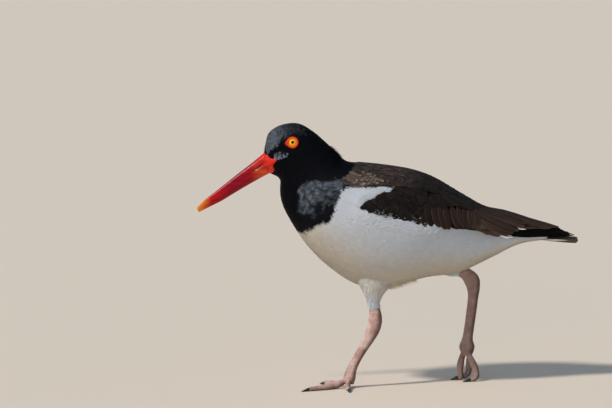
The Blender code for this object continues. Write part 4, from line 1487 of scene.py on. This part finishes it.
# The tip's x, how far the bill reaches back from it, the mouth line's slope, its height where x is 0,
# and half the gap along it.
BILL_TIP = -182.6
BILL_REACH = 70.6
MOUTH_SLOPE = -0.59
MOUTH_HEIGHT = 145.2
MOUTH_GAP = 0.03
# How far up its section the groove runs, and at which degrees the mouth's fold runs on the head.
GROOVE_HEIGHT = 0.60
MOUTH_DEGREES = 70.0


def bill_look():
    """Glossy horn: coral at the base, deep red along the blade and orange-yellow at the tip."""
    look = Look("bill_horn", roughness=0.27, specular_ior_level=0.20)
    place = look.place()
    forward = look.axis(place, "X")
    along = (forward - BILL_TIP * MM) * (1.0 / (BILL_REACH * MM))
    colour = look.ramp(
        along + (look.noise(90.0) - 0.5) * 0.08,
        (0.0, (0.84, 0.30, 0.020)),
        (0.08, (0.84, 0.20, 0.015)),
        (0.19, (0.47, 0.004, 0.006)),
        (0.50, (0.27, 0.0006, 0.011)),
        (0.76, (0.38, 0.0012, 0.010)),
        (0.97, (0.80, 0.030, 0.014)),
    )
    above_mouth = look.axis(place, "Z") - (forward * MOUTH_SLOPE + MOUTH_HEIGHT * MM)
    lower = 1.0 - look.smooth(-0.006, 0.0005, above_mouth)
    near_base = look.smooth(0.72, 1.0, along)
    colour = look.blend(lower * near_base * 0.7, colour, (0.85, 0.17, 0.035))
    drawn_out = {0: place, "Rotation": (0.0, 0.52, 0.0), "Scale": (0.4, 1.0, 6.0)}
    streaks = look.noise(60.0, 4.0, look.node("ShaderNodeMapping", {}, drawn_out))
    shade = look.ramp(streaks, (0.35, (0.72, 0.72, 0.72)), (0.65, (1.06, 1.06, 1.06)))
    colour = look.tint(look.tint(colour, shade), look.colour_of("plumage"))
    return look.finished(colour, streaks * 0.8 + look.noise(700.0, 2.0) * 0.3, 0.10)


def bill_half(upper):
    """Rings of points of one half of the bill, with its long groove and nostril, and the painted shade
    in them and along the mouth.
    """
    places = np.linspace(0.0, len(BILL) - 1.0, BILL_ROWS)
    turn = np.linspace(0.0, math.pi, 400)
    rings = []
    crease_shades = []
    for place, section in zip(places, curves(BILL, places)):
        lower_x, lower_z, upper_x, upper_z, _, widest, mouth = section
        gap = MOUTH_GAP / math.hypot(upper_x - lower_x, upper_z - lower_z)
        share = mouth + (gap if upper else -gap)
        edge = float(np.interp(share, raised(turn, widest), turn))
        angle = np.linspace(edge if upper else -edge, math.tau - edge if upper else edge, BILL_COLUMNS)
        points = section_points(np.tile(section, (BILL_COLUMNS, 1)), angle, 0.0)
        level = raised(angle, widest)
        # painted shade along the mouth line between the halves
        dark = 0.35 * np.exp(-(((level - share) / 0.03) ** 2))
        if upper:
            middle = GROOVE_HEIGHT - 0.02 * place
            groove = np.exp(-(((level - middle) / 0.085) ** 2))
            groove *= smoothstep(0.0, 0.25, place) * (1.0 - smoothstep(1.6, 2.9, place))
            slit = np.exp(-(((level - middle) / 0.035) ** 2))
            slit *= smoothstep(0.22, 0.5, place) * (1.0 - smoothstep(0.8, 1.3, place))
            points[:, 1] *= 1.0 - (0.14 * groove + 0.16 * slit)
            # painted shade in the groove and nostril slit
            dark = np.maximum(dark, 0.28 * groove + 0.30 * slit)
        rings.append(points)
        crease_shades.append(dark)
    return np.array(rings), np.array(crease_shades)


def reddened(tone, power):
    """Colours that turn redder as they darken."""
    return np.stack([tone, tone**power, tone**power], -1)


def build_bill(material):
    for name, upper in (("bill_upper", True), ("bill_lower", False)):
        rings, crease_shades = bill_half(upper)
        mesh = lofted(rings)
        # the stored colour is the painted shade in the bill's creases, redder as it darkens
        add_colour(mesh, reddened(1.0 - np.concatenate([crease_shades.ravel(), [0.0, 0.0]]), 1.3))
        faced_outward(mesh)
        mesh.set_sharp_from_angle(angle=math.radians(50.0))
        piece(f"{name}_horn", mesh, material, "bill_horn", name)


def build_gape(material):
    """Bare skin from the bill's base back to the corner of the mouth, on both sides."""
    rows = 14
    columns = 80
    degrees = np.linspace(14.0, 172.0, columns)
    edge = broken_line(BILL_EDGE, degrees) + 0.12
    fold, degree = np.meshgrid(np.linspace(0.0, 1.0, rows), degrees, indexing="ij")
    away = degree - MOUTH_DEGREES
    swell = 0.55 * np.sqrt(np.clip(1.0 - fold**2, 0.0, 1.0)) - 0.75 * smoothstep(0.8, 1.0, fold)
    crease = 0.5 * np.exp(-((away / 3.5) ** 2)) * (1.0 - 0.6 * fold)
    # painted shade, darker in the mouth's fold
    tone = 1.0 - 0.5 * np.exp(-((away / 3.0) ** 2)) * (1.0 - 0.7 * fold)
    quads = ring_faces(rows, columns, False)
    for label, side in SIDES:
        points = body_points(fold * edge, side * np.radians(degree), swell - crease).reshape(-1, 3)
        mesh = array_mesh(points, quads.ravel(), np.full(len(quads), 4))
        if side < 0.0:
            mesh.flip_normals()
        add_colour(mesh, reddened(tone.ravel(), 1.4))
        mesh = with_modifier(mesh, "SOLIDIFY", thickness=0.8 * MM, offset=-1.0)
        piece(f"gape_{label}", mesh, material, "bill_horn")


# Eyes

IRIS_SPAN = 10.0
BALL_RADIUS = 5.0
RING_CORNER = 1.9
# The lids' ring round the eye: radius and height in millimetres, and its share of the front corner.
RING_PROFILE = (
    (4.6, 1.6, 0.0),
    (4.05, 3.05, 0.1),
    (3.72, 3.75, 0.15),
    (3.72, 4.10, 0.2),
    (4.05, 4.32, 0.4),
    (4.50, 4.22, 0.6),
    (4.90, 4.20, 0.8),
    (5.35, 4.00, 1.0),
    (5.70, 3.40, 1.0),
    (5.70, 2.00, 0.9),
    (5.30, 1.20, 0.6),
)


def from_pupil(look, flat):
    """Millimetres from the middle of the eye, as a shader value."""
    x = look.axis(flat, "X") - 0.5
    y = look.axis(flat, "Y") - 0.5
    return (x * x + y * y) ** 0.5 * IRIS_SPAN


def eye_look():
    """A bright yellow iris round a black pupil, under a wet surface."""
    look = Look("eye", roughness=0.12, specular_ior_level=0.25)
    flat = look.uv("Iris")
    fibres = (look.noise(14.0, 4.0, flat) - 0.5) * 0.25
    colour = look.ramp(
        (from_pupil(look, flat) + fibres) / BALL_RADIUS,
        (0.0, (0.0015, 0.0015, 0.002)),
        (0.235, (0.0015, 0.0015, 0.002)),
        (0.275, (0.55, 0.22, 0.010)),
        (0.42, (0.90, 0.50, 0.020)),
        (0.66, (0.92, 0.44, 0.015)),
        (0.76, (0.88, 0.26, 0.008)),
        (0.86, (0.62, 0.09, 0.006)),
    )
    look.set(base_color=colour)
    return look.material


def ring_look():
    """Bare skin round the eye, orange by the iris and deep red outside."""
    look = Look("eye_ring", roughness=0.42, specular_ior_level=0.2)
    colour = look.ramp(
        (from_pupil(look, look.uv("Iris")) - 3.4) / 3.0 + (look.noise(500.0, 2.0) - 0.5) * 0.3,
        (0.0, (0.86, 0.22, 0.006)),
        (0.35, (0.80, 0.085, 0.005)),
        (0.85, (0.50, 0.015, 0.004)),
    )
    return look.finished(colour, look.noise(1500.0), 0.12)


def turned_grid(profile, columns, corner=0.0, corner_angle=0.0):
    """Rings of a profile of radius and height, drawn out to a corner on one side."""
    angle = np.linspace(0.0, math.tau, columns, endpoint=False)
    away = np.arctan2(np.sin(angle - corner_angle), np.cos(angle - corner_angle))
    rings = []
    for radius, height, share in profile:
        reach = radius + corner * share * np.exp(-((away / 0.42) ** 2))
        level = np.full(columns, height)
        rings.append(np.stack([reach * np.cos(angle), reach * np.sin(angle), level], -1))
    return np.array(rings)


def ball_profile():
    """The eyeball's outline, with a slight bulge over the iris."""
    for degree in np.linspace(-88.0, 88.0, 25):
        angle = math.radians(degree)
        bulge = 0.18 * math.exp(-(((90.0 - degree) / 42.0) ** 2))
        yield BALL_RADIUS * math.cos(angle), (BALL_RADIUS + bulge) * math.sin(angle), 0.0


def hoop(grid):
    """A closed ring through rings of points, the last joined to the first."""
    rows, columns = grid.shape[:2]
    quads = ring_faces(rows + 1, columns) % (rows * columns)
    return array_mesh(grid.reshape(-1, 3), quads.ravel(), np.full(len(quads), 4))


def set_in_head(mesh):
    """A part of the left eye, moved from the eye's own axes into the head."""
    add_uv(mesh, "Iris", mesh_points(mesh)[:, :2] / IRIS_SPAN + 0.5)
    faced_outward(mesh)
    for matrix in (Matrix.Scale(1.0 / MM, 4), EYE, Matrix.Scale(MM, 4)):
        mesh.transform(matrix)
    return mesh


def build_eyes():
    forward = EYE.to_3x3().inverted() @ Vector((-1.0, 0.0, -0.12))
    corner_angle = math.atan2(forward.y, forward.x)
    ball = set_in_head(lofted(turned_grid(ball_profile(), columns=48)))
    ring = set_in_head(hoop(turned_grid(RING_PROFILE, 64, RING_CORNER, corner_angle)))
    parts = (
        ("eyeball", ball, eye_look(), "eye", "eye"),
        ("orbital_ring", ring, ring_look(), "eye_ring", "lid"),
    )
    for side, sign in SIDES:
        for name, mesh, look, slot, node in parts:
            piece(f"{name}_{side}", on_side(mesh, sign), look, slot, f"{node}_{side}")


# Legs and feet

# Painted shade on the legs: the way that their shaded backs face, and the colour painted there.
LEG_SHADE_SIDE = (0.86, 0.25, -0.45)
LEG_PAINTED_SHADE = (0.36, 0.285, 0.275)
SCUTE_HEIGHT = 2.3
CLAW_LENGTH = 8.0
# How thick a claw is, along its length.
CLAW_SHAPE = ((-0.08, 0.9), (0.12, 1.0), (0.4, 0.84), (0.7, 0.58), (0.92, 0.3), (1.0, 0.1))


def leg_look():
    """Pale pink scaly skin, browner near the floor and between its scales; painted shade browns the
    trailing leg and the legs' backs.
    """
    look = Look("leg_skin", roughness=0.48, subsurface_weight=0.12)
    look.set(subsurface_scale=0.004, subsurface_radius=(1.0, 0.35, 0.25))
    place = look.place()
    high = look.axis(place, "Z")
    flat = look.node("ShaderNodeMapping", {}, {0: place, "Scale": (1.0, 1.0, 1.5)})
    to_edge = {"feature": "DISTANCE_TO_EDGE"}
    scales = look.node("ShaderNodeTexVoronoi", to_edge, {"Vector": flat, "Scale": 520.0})
    cell = look.smooth(0.0, 0.12, scales)
    turn = high * (math.tau / (SCUTE_HEIGHT * MM)) + (look.noise(160.0, 2.0) - 0.5) * 9.0
    scute = look.smooth(0.45, 1.0, look.math("SINE", turn)) * look.smooth(0.012, 0.022, high)
    shaded_leg = look.smooth(0.010, 0.040, look.axis(place, "X"))
    foot = 1.0 - look.smooth(0.002, 0.016, high)
    colour = look.ramp(
        look.noise(120.0, 4.0),
        (0.30, (0.42, 0.225, 0.195)),
        (0.50, (0.72, 0.465, 0.41)),
        (0.70, (0.92, 0.72, 0.65)),
    )
    # painted shade: the trailing leg lies in the body's shadow
    colour = look.blend(shaded_leg * 0.66, colour, (0.225, 0.155, 0.132))
    colour = look.blend(foot * 0.35, colour, (0.40, 0.27, 0.235))
    colour = look.blend((1.0 - cell) * 0.45, colour, (0.20, 0.11, 0.095))
    colour = look.blend(scute * 0.24, colour, (0.18, 0.095, 0.08))
    # the stored colour is the painted shade on the legs' backs
    colour = look.tint(colour, look.colour_of("plumage"))
    lumps = look.noise(230.0, 2.0) * 3.0 + look.noise(900.0, 2.0) * 0.4
    return look.finished(colour, cell + lumps - scute * 0.6, 0.24)


def claw_look():
    look = Look("claw_horn", roughness=0.33, coat_weight=0.1)
    tone = look.ramp(look.noise(300.0), (0.3, (0.010, 0.009, 0.010)), (0.75, (0.040, 0.034, 0.032)))
    return look.finished(tone, look.noise(800.0), 0.06)


def limb_mesh(stations, rows, columns):
    """A limb as a closed mesh that stops at the floor."""
    grid = grid_of(limb_surface(stations), np.linspace(0.0, len(stations) - 1.0, rows), columns)
    grid[..., 2] = np.maximum(grid[..., 2], 0.0)
    return lofted(grid)


def toe_with_pads(stations):
    """A toe's stations, three for each one, so that its pads swell between the joints."""
    finer = curves(stations, np.linspace(0.0, len(stations) - 1.0, 3 * len(stations)))
    phase = np.linspace(0.0, 3.0 * math.tau, len(finer))
    finer[:, 3:] *= (1.0 + 0.05 * np.cos(phase))[:, None]
    return finer


def claw_stations(toe):
    """A claw that runs on from a toe's end and comes down to the floor."""
    end = Vector(toe[-1][:3])
    along = (end - Vector(toe[-2][:3])).normalized()
    flat = Vector((along.x, along.y, 0.0)).normalized()
    stations = []
    for share, size in CLAW_SHAPE:
        point = end + along * 0.3 + flat * CLAW_LENGTH * share
        rest = max(1.25 * size, 0.3)
        point.z = mixed(end.z, rest, min(max(share / 0.4, 0.0), 1.0))
        stations.append((*point, 1.7 * size, 1.4 * size))
    return stations


def build_legs():
    skin = leg_look()
    horn = claw_look()
    for side, shank, toes in (("left", SHANK_LEFT, TOES_LEFT), ("right", SHANK_RIGHT, TOES_RIGHT)):
        meshes = [limb_mesh(shank, rows=60, columns=40)]
        for stations in toes.values():
            meshes.append(limb_mesh(toe_with_pads(stations), rows=40, columns=24))
        mesh = remeshed(meshes, voxel=0.55, rounds=5)
        for vert in mesh.vertices:
            vert.co.z = max(vert.co.z, 0.0)
        mesh.update()
        normals = np.zeros(len(mesh.vertices) * 3, np.float32)
        mesh.vertex_normals.foreach_get("vector", normals)
        # painted shade, darker where the legs' surfaces face away from the light
        behind = smoothstep(-0.25, 0.45, normals.reshape(-1, 3) @ np.array(LEG_SHADE_SIDE))
        add_colour(mesh, blend_into(np.ones((len(behind), 3)), LEG_PAINTED_SHADE, behind))
        nodes = [f"shank_{side}"] + [f"toe_{side}_{toe}" for toe in toes]
        piece(f"leg_{side}", mesh, skin, "leg_skin", *nodes)
        for toe, stations in toes.items():
            claw = limb_mesh(claw_stations(stations), rows=24, columns=16)
            piece(f"horn_{side}_{toe}", claw, horn, "claw_horn", f"claw_{side}_{toe}")


# Stage, light and camera

# The camera sees the bird's left side from a little above, rolled a little: where it looks, how far
# away it stands, how steeply it looks down, its roll and the width that it sees. In metres.
MIDDLE = Vector((-0.0776, 0.0, 0.1768))
AWAY = 8.0
RISE = math.radians(7.0)
ROLL = math.radians(1.5)
FRAME_WIDTH = 0.5875
SENSOR = 36.0
FLOOR_COLOUR = (0.80, 0.685, 0.565)
SKY_COLOUR = (0.62, 0.79, 1.0, 1.0)
SKY_STRENGTH = 0.36
# Each sun: the way its light goes, its strength, its spread in degrees and its colour. The key is warm
# and comes from the front left. The fill is low, like light from the floor, and makes no highlight.
SUNS = {
    "key": ((0.566, 0.33, -0.766), 2.35, 7.0, (1.0, 0.96, 0.90)),
    "low_fill": ((0.20, 0.97, -0.10), 0.62, 30.0, (1.0, 0.90, 0.78)),
}


def build_stage():
    bpy.ops.object.select_all(action="DESELECT")
    bpy.ops.mesh.primitive_plane_add(size=60.0, location=(0.0, 0.0, 0.0))
    floor = bpy.context.object
    floor.name = "floor"
    floor.data.materials.append(Look("pale_floor", roughness=0.85, base_color=FLOOR_COLOUR).material)
    world = bpy.data.worlds.new("studio")
    world.use_nodes = True
    sky = world.node_tree.nodes["Background"]
    sky.inputs["Color"].default_value = SKY_COLOUR
    sky.inputs["Strength"].default_value = SKY_STRENGTH
    bpy.context.scene.world = world
    bpy.context.scene.view_settings.view_transform = "Standard"


def build_light():
    for name, (direction, energy, spread, colour) in SUNS.items():
        data = bpy.data.lights.new(name, "SUN")
        data.energy = energy
        data.angle = math.radians(spread)
        data.color = colour
        sun = bpy.data.objects.new(name, data)
        bpy.context.scene.collection.objects.link(sun)
        sun.rotation_euler = Vector(direction).to_track_quat("-Z", "Y").to_euler()
        sun.visible_glossy = name == "key"


def build_camera():
    data = bpy.data.cameras.new("camera")
    data.sensor_width = SENSOR
    data.lens = SENSOR * AWAY / FRAME_WIDTH
    data.clip_end = 100.0
    camera = bpy.data.objects.new("camera", data)
    bpy.context.scene.collection.objects.link(camera)
    toward = Vector((0.0, math.cos(RISE), -math.sin(RISE)))
    camera.location = MIDDLE - toward * AWAY
    turn = toward.to_track_quat("-Z", "Y").to_matrix().to_4x4()
    roll = Matrix.Rotation(-ROLL, 4, "Z")
    camera.rotation_euler = (turn @ roll).to_euler()
    bpy.context.scene.camera = camera


def main():
    rng = np.random.default_rng(SEED)
    dark = down_look("black_plumage", roughness=0.6, gloss=0.07, depth=0.35, grain=0.10)
    light = down_look("white_plumage", roughness=0.8, gloss=0.15, depth=0.03, grain=0.02, glow=0.45)
    vane = vane_look()
    build_skin(light, rng)
    build_coat(dark, light, rng)
    build_nape(dark, rng)
    build_thigh_coat(light, rng)
    build_wings(vane, dark, rng)
    build_fringe(light, rng)
    build_tail(vane, rng)
    bill = bill_look()
    build_bill(bill)
    build_gape(bill)
    build_eyes()
    build_legs()
    build_stage()
    build_light()
    build_camera()
    bpy.context.view_layer.update()


main()
